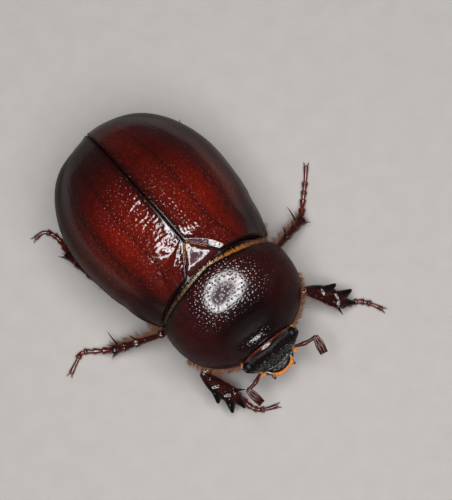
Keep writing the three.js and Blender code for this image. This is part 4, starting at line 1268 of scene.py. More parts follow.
# %% [markdown]
# ## Head
# The head is a flat shovel. Its front is the clypeus, a plate with a turned-up rim whose thin bright line
# shows how sharp it is. Behind a faint seam lies the forehead, dull and grainy, with one small knob where a
# male has his horn. The back of the head is polished by the pronotum's edge. One tube of superellipse rings
# makes it all, with two finishes on its faces.

# %% The head's rings
HEAD = Sizes(back_y=-6.55, front_y=-8.72, start_y=-7.02, length=1.7, roundness=2.6, bow=0.24)
HEAD_RINGS, HEAD_SIDES, RIM_RINGS = 150, 240, 16
HEAD_PIT = Sizes(spacing=0.23, radius=0.09, depth=0.085)
SHINE_ENDS = 0.27  # share of the head's length that the pronotum's edge has polished


def head_half_width(t):
    return mix(1.05, 2.4, quarter(np.clip(t, 0, 1), 2.4, 1.5))


def head_top(t):
    return mix(6.15, 4.0, np.clip(t, 0, 1) ** 1.15) + 0.24 * hump(t, 0.22, 0.15)


def head_grid():
    """The skin, and for every ring the share of the head's length, as rows of a grid."""
    y = np.concatenate([np.linspace(HEAD.back_y, HEAD.front_y, HEAD_RINGS), np.full(RIM_RINGS, HEAD.front_y)])
    close = np.linspace(0, 90, RIM_RINGS + 1)[1:] * RAD
    shrink = np.concatenate([np.ones(HEAD_RINGS), np.cos(close)])[:, None]
    bulge = np.concatenate([np.zeros(HEAD_RINGS), 0.06 * np.sin(close)])[:, None]
    t = ((HEAD.start_y - y) / HEAD.length)[:, None]
    neck = mix(0.6, 1, fade(t, -0.3, 0.0))
    angle = np.linspace(0, 2 * math.pi, HEAD_SIDES, endpoint=False)[None]
    over, up = (signed_power(wave, 2 / HEAD.roundness) for wave in (np.sin(angle), np.cos(angle)))
    low = mix(2.6, 2.75, np.clip(t / 0.56, 0, 1)) + 0.65 * fade(t, 0.5, 1.0)
    top = head_top(t)
    middle = mix(top, low, 0.5 - 0.1 * fade(t, 0.6, 1))
    x = head_half_width(t) * neck * over * shrink
    z = middle + np.where(up > 0, top - middle, middle - low) * up * shrink
    z = mix(mix(4.2, z, 0.6), z, fade(t, -0.3, 0.0))
    y = y[:, None] - bulge + HEAD.bow * (x / 1.05) ** 2 * np.clip(t, 0, 1) ** 5
    return np.stack(np.broadcast_arrays(x, y, z), -1), t, up


grid, t, up = head_grid()
x, upper = grid[..., 0], fade(up, 0.05, 0.4)
seam_t = 0.5 + 0.07 * np.abs(x) / 1.2
front_rim = ridges(t, (0.07, 0.982, 0.014), (-0.03, 0.88, 0.06))
slopes = -0.25 * (1 - hump(x, -0.15, 1.02)) * hump(t, 0.2, 0.2)  # down to both sides behind the eyes
seam = -0.05 * hump(t, seam_t, 0.018) * fade(1.9 - np.abs(x), 0, 0.3)
knob = 0.13 * hump(x, 0.0, 0.17) * hump(t, 0.4, 0.075)
lumps = 0.03 * rough_field(grid, 0.5, seed=51) * fade(t, 0.34, 0.5)
side_rim = 0.06 * fade(t, 0.35, 0.6) * hump(up, 0.22, 0.2)
relief = (front_rim + slopes + seam + knob + lumps) * upper + side_rim
from_above = grid * (1, 1, 0.35)  # pits spaced in plan stay round on the steep face
head_pits = pit_centres(from_above, HEAD_PIT.spacing, seed=52, keep=0.95)
dots = dug_pits(from_above, head_pits, HEAD_PIT.radius, HEAD_PIT.depth, seed=53)
relief = relief + dots * fade(t, SHINE_ENDS, SHINE_ENDS + 0.06) * (1 - fade(t, 0.94, 0.965))
skin = raised(grid, relief, True)
glow = (1 - fade(t, 0.0, 0.12)) * fade(up, 0.4, 0.8)
worn = fade(t, 0.3, 0.36) * (1 - fade(t, 0.5, 0.7)) * np.ones(grid.shape[:2])
mesh = make_piece(
    "head_shield", with_ends(skin), head_finish, FORE_PLACE, "head", "head", "clypeus",
    darkness=end_values(1 - 0.9 * glow), worn=end_values(worn),
).data
mesh.materials.append(brow_finish)
BROW_SLOT = 1
shine_y = HEAD.start_y - HEAD.length * SHINE_ENDS
to_beetle = FORE_PLACE.inverted()
for face in mesh.polygons:
    centre = to_beetle @ face.center
    if centre.y > shine_y:
        face.material_index = BROW_SLOT
print("head has", len(mesh.polygons), "faces")
rim_row = skin[int(np.argmin(np.abs(t[:, 0] - 0.965)))]
over_top = np.roll(rim_row, HEAD_SIDES // 2, 0)[int(HEAD_SIDES * 0.27) : int(HEAD_SIDES * 0.73) + 1]
rim_line = smooth_line(over_top[::6] + (0, 0, 0.01), 90)
bead = tube(rim_line, (0, 1.0, 0.3), wide=0.045, thick=0.045, sides=16)
make_piece("clypeus_rim", bead, brow_finish, FORE_PLACE, "head", darkness=1)

# %% [markdown]
# ### Eyes
# Each eye is a bead of some thousand lenses, half hidden in a notch at the side of the head, with a narrow
# plate, the canthus, across its front. A true hexagon grid would be far too fine to see, so the bead is a
# smooth ball with a cell bump, made coarse enough to just break up its gloss.

# %% Eyes and the plates in front of them
EYE = Sizes(x=2.1, y=-7.42, z=4.64, radius=0.42)
for side, side_name in SIDES:
    middle = np.array([EYE.x * side, EYE.y, EYE.z])
    angle = np.linspace(-90, 90, 41) * RAD
    line = middle + UP * (np.sin(angle) * EYE.radius)[:, None]
    half = EYE.radius * np.cos(angle)
    ball = tube(line, (1.0, 0, 0), half, half * 1.08, sides=64, caps=(0, 0))
    node = "eye_" + side_name
    make_piece(node + "_lens", ball, eye_finish, FORE_PLACE, "eye", node)
    places = [(1.55, -8.02, 4.2), (2.0, -7.88, 4.55), (2.45, -7.6, 4.95), (2.6, -7.32, 5.0)]
    line = smooth_line(np.array(places) * (side, 1, 1), 30)
    half = swell(0.06, 0.2, np.linspace(0.05, 0.95, 30))
    plate = tube(line, (0.3 * side, 0.75, 0.6), half, thick=0.055, sides=20)
    make_piece("canthus_" + side_name, plate, head_finish, FORE_PLACE, "head", darkness=1)

# %% [markdown]
# ### Mouth
# From above only the front of the upper lip and the tips of the jaws show under the clypeus. From below there
# are two jaws, two jointed palps and a chin plate.

# %% Upper lip, jaws, palps and chin
LIP = [(-0.78, -8.66, 3.02), (0, -8.72, 3.04), (0.78, -8.66, 3.02)]
CHIN = [(0, -7.1, 2.62), (0, -7.9, 2.5), (0, -8.55, 2.6)]
JAW = [(1.1, -7.75, 2.95), (1.18, -8.35, 2.9), (0.9, -8.9, 2.82)]
PALP = [(0.62, -7.9, 2.4), (0.85, -8.6, 2.2), (0.95, -9.2, 2.1)]
PALP_SHARES, PALP_WIDTHS = (0, 20 / 60, 38 / 60, 1), (0.13, 0.12, 0.15)
t = np.linspace(0, 1, 30)
lip = tube(smooth_line(LIP, 30), (0, -1.0, 0), swell(0.2, 0.42, t), swell(0.14, 0.22, t), sides=32)
make_piece("upper_lip", lip, head_finish, FORE_PLACE, "head", "labrum", worn=0.85)
chin = tube(smooth_line(CHIN, 24), (1.0, 0, 0), swell(0.45, 0.62, np.linspace(0, 1, 24)), thick=0.16, sides=32)
make_piece("chin", chin, under_finish, FORE_PLACE, "underside")
for side, side_name in SIDES:
    jaw_line = smooth_line(np.array(JAW) * (side, 1, 1), 30)
    jaw = tube(jaw_line, (1.0, 0.2 * side, 0), mix(0.32, 0.1, t**2.2), mix(0.2, 0.1, t**2), sides=28)
    make_piece("jaw_" + side_name, jaw, head_finish, FORE_PLACE, "head", "mandible_" + side_name)
    joints = []
    palp_line = smooth_line(np.array(PALP) * (side, 1, 1), 61)
    for (line, share), wide in zip(stretches(palp_line, PALP_SHARES), PALP_WIDTHS):
        half = swell(0.09, wide, mix(0.1, 0.95, share))
        joints.append(tube(line, (1.0, 0, 0), half, half, sides=16))
    node = "palp_" + side_name
    make_piece(node + "_joints", joined(joints), feeler_finish, FORE_PLACE, "head", node)

# %% [markdown]
# ### Feelers
# A scarab's feeler has a long first joint, a row of small beads, and a club of three leaves that fold together
# like a fan. The leaves stand upright, so three thin edges show from above.

# %% Feelers
FEELER = dict(
    left=dict(root=(1.75, -8.3, 3.15), elbow=(3.45, -8.7, 3.2), tip=(3.2, -10.0, 2.75)),
    right=dict(root=(-1.75, -8.3, 3.15), elbow=(-3.2, -8.68, 3.2), tip=(-3.0, -10.05, 2.75)),
)
BEAD_SHARES, BEAD_RADII = (0, 0.46, 0.6, 0.7, 0.8, 0.9, 1), (0.2, 0.18, 0.16, 0.16, 0.16, 0.18)
LEAF_GAP, LEAF_BOW, LEAF_ROWS, LEAF_SIDES = 0.15, 0.06, 40, 24
LEAF_TURNS = dict(left=(-3, 0, 3), right=(-2, 0, 2))  # degrees off the middle, for the three leaves
for side, side_name in SIDES:
    root, elbow, tip = (np.array(FEELER[side_name][key]) for key in ("root", "elbow", "tip"))
    bend = mix(root, elbow, 0.5) + (0, -0.12, 0.12)
    line = smooth_line([root, bend, elbow], 101)
    parts = []
    for (piece, t), radius in zip(stretches(line, BEAD_SHARES), BEAD_RADII):
        half = mix(0.12, radius, t**1.2) if not parts else swell(0.075, radius, mix(0.1, 0.85, t))
        parts.append(tube(piece, UP, half, half, sides=16, caps=(0.6, 0.6)))
    name = side_name + "_stalk"
    make_piece("feeler_" + name, joined(parts), feeler_finish, FORE_PLACE, "feeler", "antenna_" + name)
    leaves, darkness = [], []
    straight = tip - elbow
    over = unit(np.cross(straight, UP))
    for k, degrees in enumerate(LEAF_TURNS[side_name]):
        away = math.cos(degrees * RAD) * straight + math.sin(degrees * RAD) * np.linalg.norm(straight) * over
        shift, bow = over * LEAF_GAP * (k - 1), over * LEAF_BOW * (k - 1)
        places = [elbow + shift * 0.7, elbow + shift + away * 0.5 + bow, elbow + shift + away]
        t = np.linspace(0, 1, LEAF_ROWS)
        half = swell(0.1, 0.3, mix(0.04, 0.93, t), 0.6)
        line = smooth_line(places, LEAF_ROWS)
        leaves.append(tube(line, UP, half, thick=0.11, sides=LEAF_SIDES, caps=(0.6, 0.9), roundness=2.4))
        darkness.append(np.repeat(0.8 * hump(np.pad(t, CAP_RINGS, mode="edge"), 1.0, 0.12), LEAF_SIDES))
    name = side_name + "_club"
    make_piece(
        "feeler_" + name, joined(leaves), feeler_finish, FORE_PLACE, "feeler", "antenna_" + name,
        darkness=np.concatenate(darkness),
    )
print("head pieces are done")

# %% [markdown]
# ## Underside
# The trunk is a hard box: the prothorax inside the pronotum, the thorax that the walking legs push from, and
# the abdomen, whose rings overlap like roof tiles. Only its lower half and its tail plate, the pygidium, can
# be seen, so the rings of points are fine there and coarse under the shells.

# %% The trunk's rings
TRUNK = Sizes(
    inset=0.2, sweep=1.0, under_shell=0.77, low_z=1.35, first_y=0.15, waist_y=(5.2, 5.25), end_y=14.35
)
BELLY_COLUMNS, BACK_COLUMNS = 161, 25
PYGIDIUM = Sizes(y=13.35, z=4.6, tilt=20, half_gap=0.025)
STERNITES = (5.2, 6.35, 7.5, 8.7, 9.95, 11.2, 12.6, 15.0)  # where the abdomen's rings begin, in mm


def trunk_grid(y, sweep, belly_z, half_width_at, top_at, edge_at):
    angles = [np.linspace(-90, 90, BELLY_COLUMNS) * RAD, np.linspace(90, -90, BACK_COLUMNS) * RAD]
    y_belly, y_back = (y[:, None] - sweep[:, None] * TRUNK.sweep * np.sin(a) ** 2 for a in angles)
    belly_half = np.maximum(half_width_at(y_belly, TRUNK.inset), 0.05)
    belly_edge, back_edge = edge_at(y_belly) - GAP, edge_at(y_back) - GAP
    belly_height = mix(belly_edge, belly_z[:, None], np.cos(angles[0]))
    belly = np.stack([belly_half * np.sin(angles[0]), y_belly, belly_height], -1)
    back_half = np.maximum(half_width_at(y_back, TRUNK.under_shell), 0.03)
    crown = np.maximum(top_at(y_back, TRUNK.under_shell), back_edge + 0.05)
    return np.concatenate([belly, arch(angles[1], y_back, back_half, crown, back_edge)], 1)


def belly_share(grid):
    """1 over the underside, 0 on the hidden back and along the side edge."""
    columns = np.arange(grid.shape[1])[None]
    from_edge = np.minimum(columns, BELLY_COLUMNS - 1 - columns)
    return fade(from_edge, 0, 8) * (columns < BELLY_COLUMNS)


def belly_line(y):
    return TRUNK.low_z + 2.6 * np.maximum(0, (y - 5.5) / (TRUNK.end_y - 5.5)) ** 2.4


def hind_rows(start, end, rows):
    """Ring places between two ends, with the forward sweep that the joint to the forebody needs."""
    y = np.linspace(start, end, rows)
    share = np.arcsin(np.clip((y - TRUNK.first_y) / (TRUNK.end_y - TRUNK.first_y), 0, 1)) / (90 * RAD)
    return y, np.maximum(0, 1 - 3 * share)


# %% [markdown]
# ### Thorax and prothorax
# A groove runs down the middle of the metasternum, the big plate between the walking legs. A seam crosses it
# before the middle hips and another behind the hind ones. All of it is dotted with pits that hold hairs.

# %% Thorax and prothorax
def trunk_skin(grid, relief, *lumps):
    """The skin of a part of the trunk: lumps are the (height, size, seed) of each layer of unevenness."""
    relief = relief + sum(height * rough_field(grid, size, seed) for height, size, seed in lumps)
    return raised(grid, relief * belly_share(grid), True)


# On the trunk the dark tone value is painted shade: black over the back, under the shells, and along the side
# edge beneath them.
def trunk_piece(name, skin, place, node):
    painted_shade_under_shells = np.broadcast_to(1 - belly_share(skin), skin.shape[:2])  # black where the shells hide it
    make_piece(name, with_ends(skin), under_finish, place, "underside", node, darkness=end_values(painted_shade_under_shells))


elytra_shape = (elytra_half_width, elytra_top, elytra_edge)
y, sweep = hind_rows(TRUNK.first_y, TRUNK.waist_y[0], 90)
grid = trunk_grid(y, sweep, belly_line(y), *elytra_shape)
x, along = grid[..., 0], grid[..., 1]
keel = 0.14 * hump(x, 0, 1.3) * hump(along, 2.6, 1.6)
groove = -0.1 * hump(x, 0, 0.07) * fade(along, 1.2, 1.8)
seams = -0.08 * hump(along, 0.75 + 0.12 * np.abs(x), 0.07) - 0.08 * hump(along, 4.5 - 0.1 * np.abs(x), 0.07)
thorax_skin = trunk_skin(grid, keel + groove + seams, (0.02, 0.7, 61), (0.01, 0.15, 62))
trunk_piece("breast_plate", thorax_skin, HIND_PLACE, "thorax")

y, t = np.linspace(-0.35, -6.55, 90), np.linspace(0, 1, 90)
grid = trunk_grid(y, 1 - t, 2.0 + 0.8 * t**3, pronotum_half_width, pronotum_top, pronotum_edge)
x, along = grid[..., 0], grid[..., 1]
rise = (grid[..., 2] - pronotum_edge(along)) / (pronotum_top(along) - pronotum_edge(along))
grid[..., 2] -= pronotum_dip(x, along) * np.maximum(0, rise)
keel = 0.12 * hump(x, 0, 0.5) * hump(along, -3.2, 1.0)
seams = -0.09 * hump(np.abs(x), 3.1 + 0.15 * (along + 3), 0.08)
prothorax_skin = trunk_skin(grid, keel + seams, (0.02, 0.6, 63), (0.01, 0.15, 64))
trunk_piece("forebody_underside", prothorax_skin, FORE_PLACE, "prothorax")

# %% [markdown]
# ### Abdomen and tail plate
# Each ring of the abdomen rises a little towards its hind edge and drops to the next, which a saw-tooth of
# relief gives. The tail plate closes the end under the wing cases. One cut through the same rings separates
# the two, with a hair's breadth between them, and both cut faces are filled.

# %% Abdomen and pygidium
y, sweep = hind_rows(TRUNK.waist_y[1], TRUNK.end_y, 300)
grid = trunk_grid(y, sweep, belly_line(y), *elytra_shape)
x, along = grid[..., 0], grid[..., 1]
ring_y = along + 0.035 * x**2 * fade(along, 8, 13)
starts = np.array(STERNITES)
which = np.clip(np.searchsorted(starts, ring_y, "right") - 1, 0, len(starts) - 2)
within = np.clip((ring_y - starts[which]) / (starts[which + 1] - starts[which]), 0, 1)
saw_tooth = 0.11 * within**1.5 - 0.05 * np.exp(-within / 0.05) - 0.03
side_groove = -0.05 * hump(np.abs(x), elytra_half_width(along) - 1.0, 0.1)
abdomen_skin = drawn_in(trunk_skin(grid, saw_tooth + side_groove, (0.015, 0.6, 65), (0.008, 0.14, 66)))
points, faces = with_ends(abdomen_skin)
tilt = PYGIDIUM.tilt * RAD
cut_way = Vector((0, math.cos(tilt), -math.sin(tilt)))
for name, node, sign, finish in (
    ("abdomen_rings", "abdomen", -1, under_finish), ("tail_plate", "pygidium", 1, shield_finish)
):
    mesh = raw_mesh(name, points, faces)
    bm = bmesh.new()
    bm.from_mesh(mesh)
    at = Vector((0, PYGIDIUM.y, PYGIDIUM.z)) + cut_way * sign * PYGIDIUM.half_gap
    everything = bm.verts[:] + bm.edges[:] + bm.faces[:]
    bmesh.ops.bisect_plane(bm, geom=everything, plane_co=at, plane_no=-sign * cut_way, clear_outer=True)
    rim = [edge for edge in bm.edges if edge.is_boundary]
    bmesh.ops.triangle_fill(bm, edges=rim, use_beauty=True)
    bmesh.ops.recalc_face_normals(bm, faces=bm.faces)
    bm.to_mesh(mesh)
    bm.free()
    finish_piece(mesh, name, finish, HIND_PLACE, "underside", node)
    print(name, "has", len(mesh.polygons), "faces")

# %% [markdown]
# ## Hair
# The hair sits where plates meet: a tan and orange fringe between the pronotum and the wing cases, brown combs
# under the pronotum's rim, an orange brush on the upper lip, bristles on the legs and a coat underneath. A
# particle system would be the usual way, but particles are lost in an export. So Geometry Nodes put one small
# bent cone on every root, turned by the root's own direction, and all cones become one plain mesh.


# %% The node tree that grows hairs on roots
def make_hair_tree():
    tree = bpy.data.node_groups.new("hairs on roots", "GeometryNodeTree")
    tree.interface.new_socket("Roots", in_out="INPUT", socket_type="NodeSocketGeometry")
    for label, kind, value in (
        ("Sides", "NodeSocketInt", 4), ("Slimness", "NodeSocketFloat", 0.04), ("Curl", "NodeSocketFloat", 0.2),
        ("Roll", "NodeSocketFloat", 0.6), ("Seed", "NodeSocketInt", 1),
    ):
        tree.interface.new_socket(label, in_out="INPUT", socket_type=kind).default_value = value
    tree.interface.new_socket("Finish", in_out="INPUT", socket_type="NodeSocketMaterial")
    tree.interface.new_socket("Hairs", in_out="OUTPUT", socket_type="NodeSocketGeometry")
    sizes = add(tree, "NodeGroupInput").outputs

    rod = add(
        tree, "GeometryNodeMeshCone",
        {"Vertices": sizes["Sides"], "Side Segments": 3, "Radius Top": 0.0, "Radius Bottom": sizes["Slimness"],
         "Depth": 1.0},
        fill_type="NGON",
    )
    spot = add(tree, "GeometryNodeInputPosition").outputs[0]
    marked = add(
        tree, "GeometryNodeStoreNamedAttribute", {"Geometry": rod, "Name": "spot", "Value": spot},
        data_type="FLOAT_VECTOR", domain="POINT",
    )
    height = add(tree, "ShaderNodeSeparateXYZ", {0: spot}).outputs[2]
    square = add(tree, "ShaderNodeMath", {0: height, 1: height}, operation="MULTIPLY")
    sideways = add(tree, "ShaderNodeMath", {0: square, 1: sizes["Curl"]}, operation="MULTIPLY")
    offset = add(tree, "ShaderNodeCombineXYZ", {0: sideways})
    bent = add(tree, "GeometryNodeSetPosition", {"Geometry": marked, "Offset": offset})

    def read(name, kind):
        return add(tree, "GeometryNodeInputNamedAttribute", {"Name": name}, data_type=kind).outputs[0]

    aimed = add(tree, "FunctionNodeAlignRotationToVector", {"Vector": read("lie", "FLOAT_VECTOR")}, axis="Z")
    drooped = add(
        tree, "FunctionNodeAlignRotationToVector",
        {"Rotation": aimed, "Vector": read("droop", "FLOAT_VECTOR")}, axis="X", pivot_axis="Z",
    )
    half_roll = add(tree, "ShaderNodeMath", {0: sizes["Roll"], 1: -1.0}, operation="MULTIPLY")
    roll = add(
        tree, "FunctionNodeRandomValue",
        {"Min": half_roll, "Max": sizes["Roll"], "Seed": sizes["Seed"]}, data_type="FLOAT",
    )
    turn = add(
        tree, "FunctionNodeAxisAngleToRotation", {"Axis": (0, 0, 1), "Angle": roll.outputs["Value"]}
    )
    rolled = add(
        tree, "FunctionNodeRotateRotation", {0: drooped, 1: turn}, rotation_space="LOCAL"
    )
    placed = add(
        tree, "GeometryNodeInstanceOnPoints",
        {"Points": sizes["Roots"], "Instance": bent, "Rotation": rolled,
         "Scale": read("length", "FLOAT")},
    )
    real = add(tree, "GeometryNodeRealizeInstances", {"Geometry": placed})
    small = add(
        tree, "ShaderNodeVectorMath", {0: read("spot", "FLOAT_VECTOR"), "Scale": HAIR_PATCH}, operation="SCALE"
    )
    uv = add(tree, "ShaderNodeVectorMath", {0: read("root_uv", "FLOAT_VECTOR"), 1: small}, operation="ADD")
    mapped = add(
        tree, "GeometryNodeStoreNamedAttribute",
        {"Geometry": real, "Name": "OFBake", "Value": uv}, data_type="FLOAT2", domain="CORNER",
    )
    painted = add(tree, "GeometryNodeSetMaterial", {"Geometry": mapped, "Material": sizes["Finish"]})
    add(tree, "NodeGroupOutput", {0: painted})
    return tree


HAIR_PATCH = 0.003  # size of one hair's patch on its UV map
hair_tree = make_hair_tree()


# %% Beds of roots, and a mesh of hairs from them
def bed(roots, lie, length, spread=0.2, seed=1, shortest=0.6, droop=(0, 0, -1.0)):
    """Hairs at the roots. Lie is their mean way, spread how far they stray, and shortest a share of length."""
    rng = np.random.default_rng(seed)
    roots = np.asarray(roots, float).reshape(-1, 3)
    lie = unit(np.broadcast_to(lie, roots.shape) + rng.normal(0, spread, roots.shape))
    around = np.arctan2(roots[:, 0], roots[:, 2] - 3) / (2 * math.pi) + 0.5
    return dict(
        roots=roots, lie=lie, droop=np.broadcast_to(droop, roots.shape),
        length=length * rng.uniform(shortest, 1, len(roots)),
        root_uv=np.stack([around, (roots[:, 1] + 14) / 32, 0 * around], -1),
    )


def hair_piece(name, beds, finish, place, sizes):
    points = np.vstack([one["roots"] for one in beds])
    mesh = bpy.data.meshes.new(name)
    mesh.from_pydata(points.tolist(), [], [])
    for key, kind, target in (
        ("lie", "FLOAT_VECTOR", "vector"), ("droop", "FLOAT_VECTOR", "vector"),
        ("root_uv", "FLOAT_VECTOR", "vector"), ("length", "FLOAT", "value"),
    ):
        numbers = np.concatenate([one[key] for one in beds]).astype(np.float32)
        mesh.attributes.new(key, kind, "POINT").data.foreach_set(target, numbers.ravel())
    roots = put_in_scene(name + "_roots", mesh)
    grow = roots.modifiers.new("grow", "NODES")
    grow.node_group = hair_tree
    for socket in hair_tree.interface.items_tree:
        if socket.in_out == "INPUT" and socket.name in sizes:
            grow[socket.identifier] = sizes[socket.name]
        elif socket.name == "Finish":
            grow[socket.identifier] = finish
    hairs = evaluated_mesh(roots)
    for key in ("lie", "droop", "root_uv", "length", "spot"):
        if key in hairs.attributes:
            hairs.attributes.remove(hairs.attributes[key])
    hairs.name = name
    print(name, "has", len(points), "hairs and", len(hairs.polygons), "faces")
    finish_piece(hairs, name, finish, place, "hair")


def scattered(line, count, seed, stray=0.03):
    """Random places along a line of points, each up to `stray` mm off it."""
    rng = np.random.default_rng(seed)
    line = np.asarray(line, float)
    on_line = points_at(line, rng.uniform(0, run_along(line)[-1], count))
    return on_line + rng.uniform(-stray, stray, (count, 3))


def fringe(line, count, seeds, lie, length, stray=0.03, spread=0.2, shortest=0.6):
    """A bed of hairs at random places along a line."""
    return bed(scattered(line, count, seeds[0], stray), lie, length, spread, seeds[1], shortest)


# %% [markdown]
# ### Fringes of the shell
# The fringe at the waist is combed straight back over the gap, and its tones carry painted light: a pale lit
# middle and shaded darker ends. Brown combs hang under the pronotum's side rim, longest near the front legs. A
# row of very short hairs lines the pronotum's front edge, with an orange tuft in each corner behind the eye,
# and the scutellum's long sides have a fine yellow line.

# %% Waist, scutellum and pronotum fringes
edge_grid = pronotum_grid(0.1, 121, 241)
hind_line, front_line = edge_grid[0, 14:-14], edge_grid[-1, 8:-8]
waist = hind_line - (0, 0.02, 0.24)
waist_roots = scattered(waist, 900, 71, 0.04)
waist_length = 0.4 + 0.16 * fade(waist_roots[:, 0], 0.5, 3.5)
waist_bed = bed(waist_roots, (0, 1.0, 0.12), waist_length, 0.2, 72, 0.45)
hair_piece("waist_fringe", [waist_bed], waist_hair_with_painted_light, FORE_PLACE, {"Slimness": 0.026, "Curl": 0.12})
front_edge_bed = fringe(front_line - (0, 0.02, 0.1), 260, (73, 74), (0, -1.0, 0.1), length=0.13)

comb_beds, corner_beds = [], []
for side in (LEFT, RIGHT):
    column = edge_grid[:, -1 if side > 0 else 0]
    rim = column - (0.12 * side, 0, 0.1)
    fore_lie, hind_lie = (0.8 * side, -0.35, -0.3), (0.8 * side, 0.1, -0.5)
    comb_beds += [
        fringe(rim[60:], 360, (75 + side, 77), fore_lie, length=0.85, stray=0.04, spread=0.18),
        fringe(rim[:60], 150, (79 + side, 81), hind_lie, length=0.55, stray=0.04),
    ]
    corner = mix(edge_grid[-1, -1 if side > 0 else 0], edge_grid[-1, -20 if side > 0 else 19], 0.4)
    tuft = np.array([corner + (0.1 * side, 0, 0.1), corner - (0.3 * side, 0, -0.15)])
    lie = (0.5 * side, -0.7, 0.3)
    corner_beds.append(fringe(tuft, 90, (83 + side, 85), lie, length=0.34, stray=0.07, spread=0.35))
comb_beds.append(front_edge_bed)
hair_piece("pronotum_combs", comb_beds, brown_hair, FORE_PLACE, {"Slimness": 0.045, "Curl": 0.25})

scutellum_beds = []
for side in (LEFT, RIGHT):
    y = np.linspace(1.0, SCUTELLUM.tip_y - 0.12, 20)
    x = scutellum_half_width(y) * side
    line = np.stack([x, y, back_height(x, y) - 0.12], -1)
    lie = (0.3 * side, 0.9, 0.45)
    scutellum_beds.append(fringe(line, 130, (87 + side, 89), lie, length=0.2, stray=0.02))
hair_piece("scutellum_fringe", scutellum_beds, gold_hair, HIND_PLACE, {"Slimness": 0.06, "Curl": 0.1})

# %% [markdown]
# ### Mouth brush
# The upper lip's brush is dense, bright orange and uneven, as hair is that has scraped through soil.

# %% Mouth brush and corner tufts
LIP_EDGE = [
    (-0.85, -8.78, 2.95), (-0.5, -9.02, 2.97), (0.1, -9.08, 2.98), (0.65, -9.0, 2.97), (0.98, -8.7, 2.95)
]
lip_edge = smooth_line(LIP_EDGE, 60)
away_from_lip = unit(lip_edge - (0, -8.2, 2.9))
brush = scattered(lip_edge, 900, 91, 0.05)
nearest = [int(np.argmin(np.linalg.norm(lip_edge - p, axis=1))) for p in brush]
brush_length = 0.4 + 0.07 * np.cos(brush[:, 0] * 4.3 + 1) + 0.04 * np.cos(brush[:, 0] * 17)
brush_beds = [bed(brush, away_from_lip[nearest] * (1, 1, 0) + (0, 0, -0.25), brush_length, 0.26, 92, 0.35)]
for side in (LEFT, RIGHT):
    cheek = np.array([(1.3 * side, -8.45, 3.2), (1.75 * side, -8.2, 3.1)])
    lie = (0.6 * side, -0.75, 0.0)
    brush_beds.append(fringe(cheek, 90, (93 + side, 95), lie, length=0.42, stray=0.06, spread=0.25))
hair_piece("mouth_brush", brush_beds + corner_beds, orange_hair, FORE_PLACE, {"Slimness": 0.04, "Curl": 0.25})


# %% [markdown]
# ### Bristles of the legs
# Every foot joint ends in a few short bristles. The shins carry rows of longer ones, and the walking legs a
# loose fringe of fine long hair along their hind side, thickest near the body.

# %% Leg hair
JOINT_RADIUS = 0.15


def leg_beds(pair, leg, seed):
    beds = []
    knee, ankle, outward = leg.knee, leg.ankle, leg.outward
    rng = np.random.default_rng(seed)
    fine = smooth_line(leg.foot, 101)
    for share in FOOT_SHARES[1:]:
        row = round(share * 100)
        at = fine[row]
        ahead = unit(at - fine[row - 6])
        level = unit(np.cross(ahead, UP))
        turns = rng.uniform(0, 2 * math.pi, 9)
        radial = level * np.cos(turns)[:, None] + UP * np.sin(turns)[:, None]
        roots = at + radial * JOINT_RADIUS - ahead * 0.07
        roots = roots[roots[:, 2] > 0.06]
        lies = (roots - at) / JOINT_RADIUS * 0.5 + ahead * 1.3
        lies[:, 2] = np.maximum(lies[:, 2], -0.1)
        beds.append(bed(roots, lies, 0.3, 0.1, seed + 1, 0.6, ahead))
    if pair == "front":
        inner_edge = ((0.3, -0.28), (1.8, -0.45), (2.9, -0.6))
        inner = smooth_line([blade_point(leg, a, b, 0.1) for a, b in inner_edge], 40)
        inwards = leg.along - outward * 1.1 + UP * 0.3
        beds.append(fringe(inner, 60, (seed + 2, seed + 3), inwards, length=0.45, stray=0.04))
        top = smooth_line([blade_point(leg, a, 0.3, 0.24) for a in (0.3, 1.8, 2.9)], 40)
        lie = leg.along + UP * 0.4
        beds.append(fringe(top, 40, (seed + 4, seed + 5), lie, length=0.3, stray=0.12, spread=0.25))
    else:
        shin = smooth_line([knee, ankle], 60)
        for way, count, length in ((outward, 220, 1.05), (-outward, 45, 0.55), (UP, 40, 0.4)):
            seeds, lie = (seed + 6 + count, seed + 7), (leg.along + way) * 0.8
            beds.append(fringe(shin + way * 0.2, count, seeds, lie, length, 0.05, 0.22, shortest=0.45))
        half_thigh = leg.sizes.thigh[0]
        thigh = smooth_line([mix(leg.hip, knee, 0.35), knee], 40) + np.array([0, 1.0, 0.1]) * half_thigh * 0.8
        back = unit(knee - leg.hip) * 0.5 + (0, 0.9, 0.1)
        beds.append(fringe(thigh, 220, (seed + 8, seed + 9), back, length=0.95, stray=0.1, shortest=0.45))
    return beds


for place, pairs in ((FORE_PLACE, ("front",)), (HIND_PLACE, ("middle", "hind"))):
    beds = []
    for pair in pairs:
        for _, side_name in SIDES:
            beds += leg_beds(pair, leg_frames[f"{pair}_{side_name}"], 101 + 10 * len(beds))
    hair_piece(pairs[0] + "_leg_hair", beds, brown_hair, place, {"Slimness": 0.026, "Curl": 0.18})


# %% [markdown]
# ### Coat of the underside
# The breast has the densest coat, all combed to the rear. The abdomen has one row of bristles across each
# ring, and the tail plate a fringe at its edge. Roots are random points of the skins' own grids.

# %% Underside hair
def skin_beds(skin, count, seed, length, lie):
    """Hairs all over the part of a trunk's skin that can be seen, which stand out a little from it."""
    rng = np.random.default_rng(seed)
    rows = rng.integers(2, skin.shape[0] - 2, count)
    columns = rng.integers(10, BELLY_COLUMNS - 10, count)
    out = grid_normals(skin, True)[rows, columns]
    return [bed(skin[rows, columns], np.array(lie) + 0.35 * out, length, 0.15, seed + 1, 0.5, -out)]


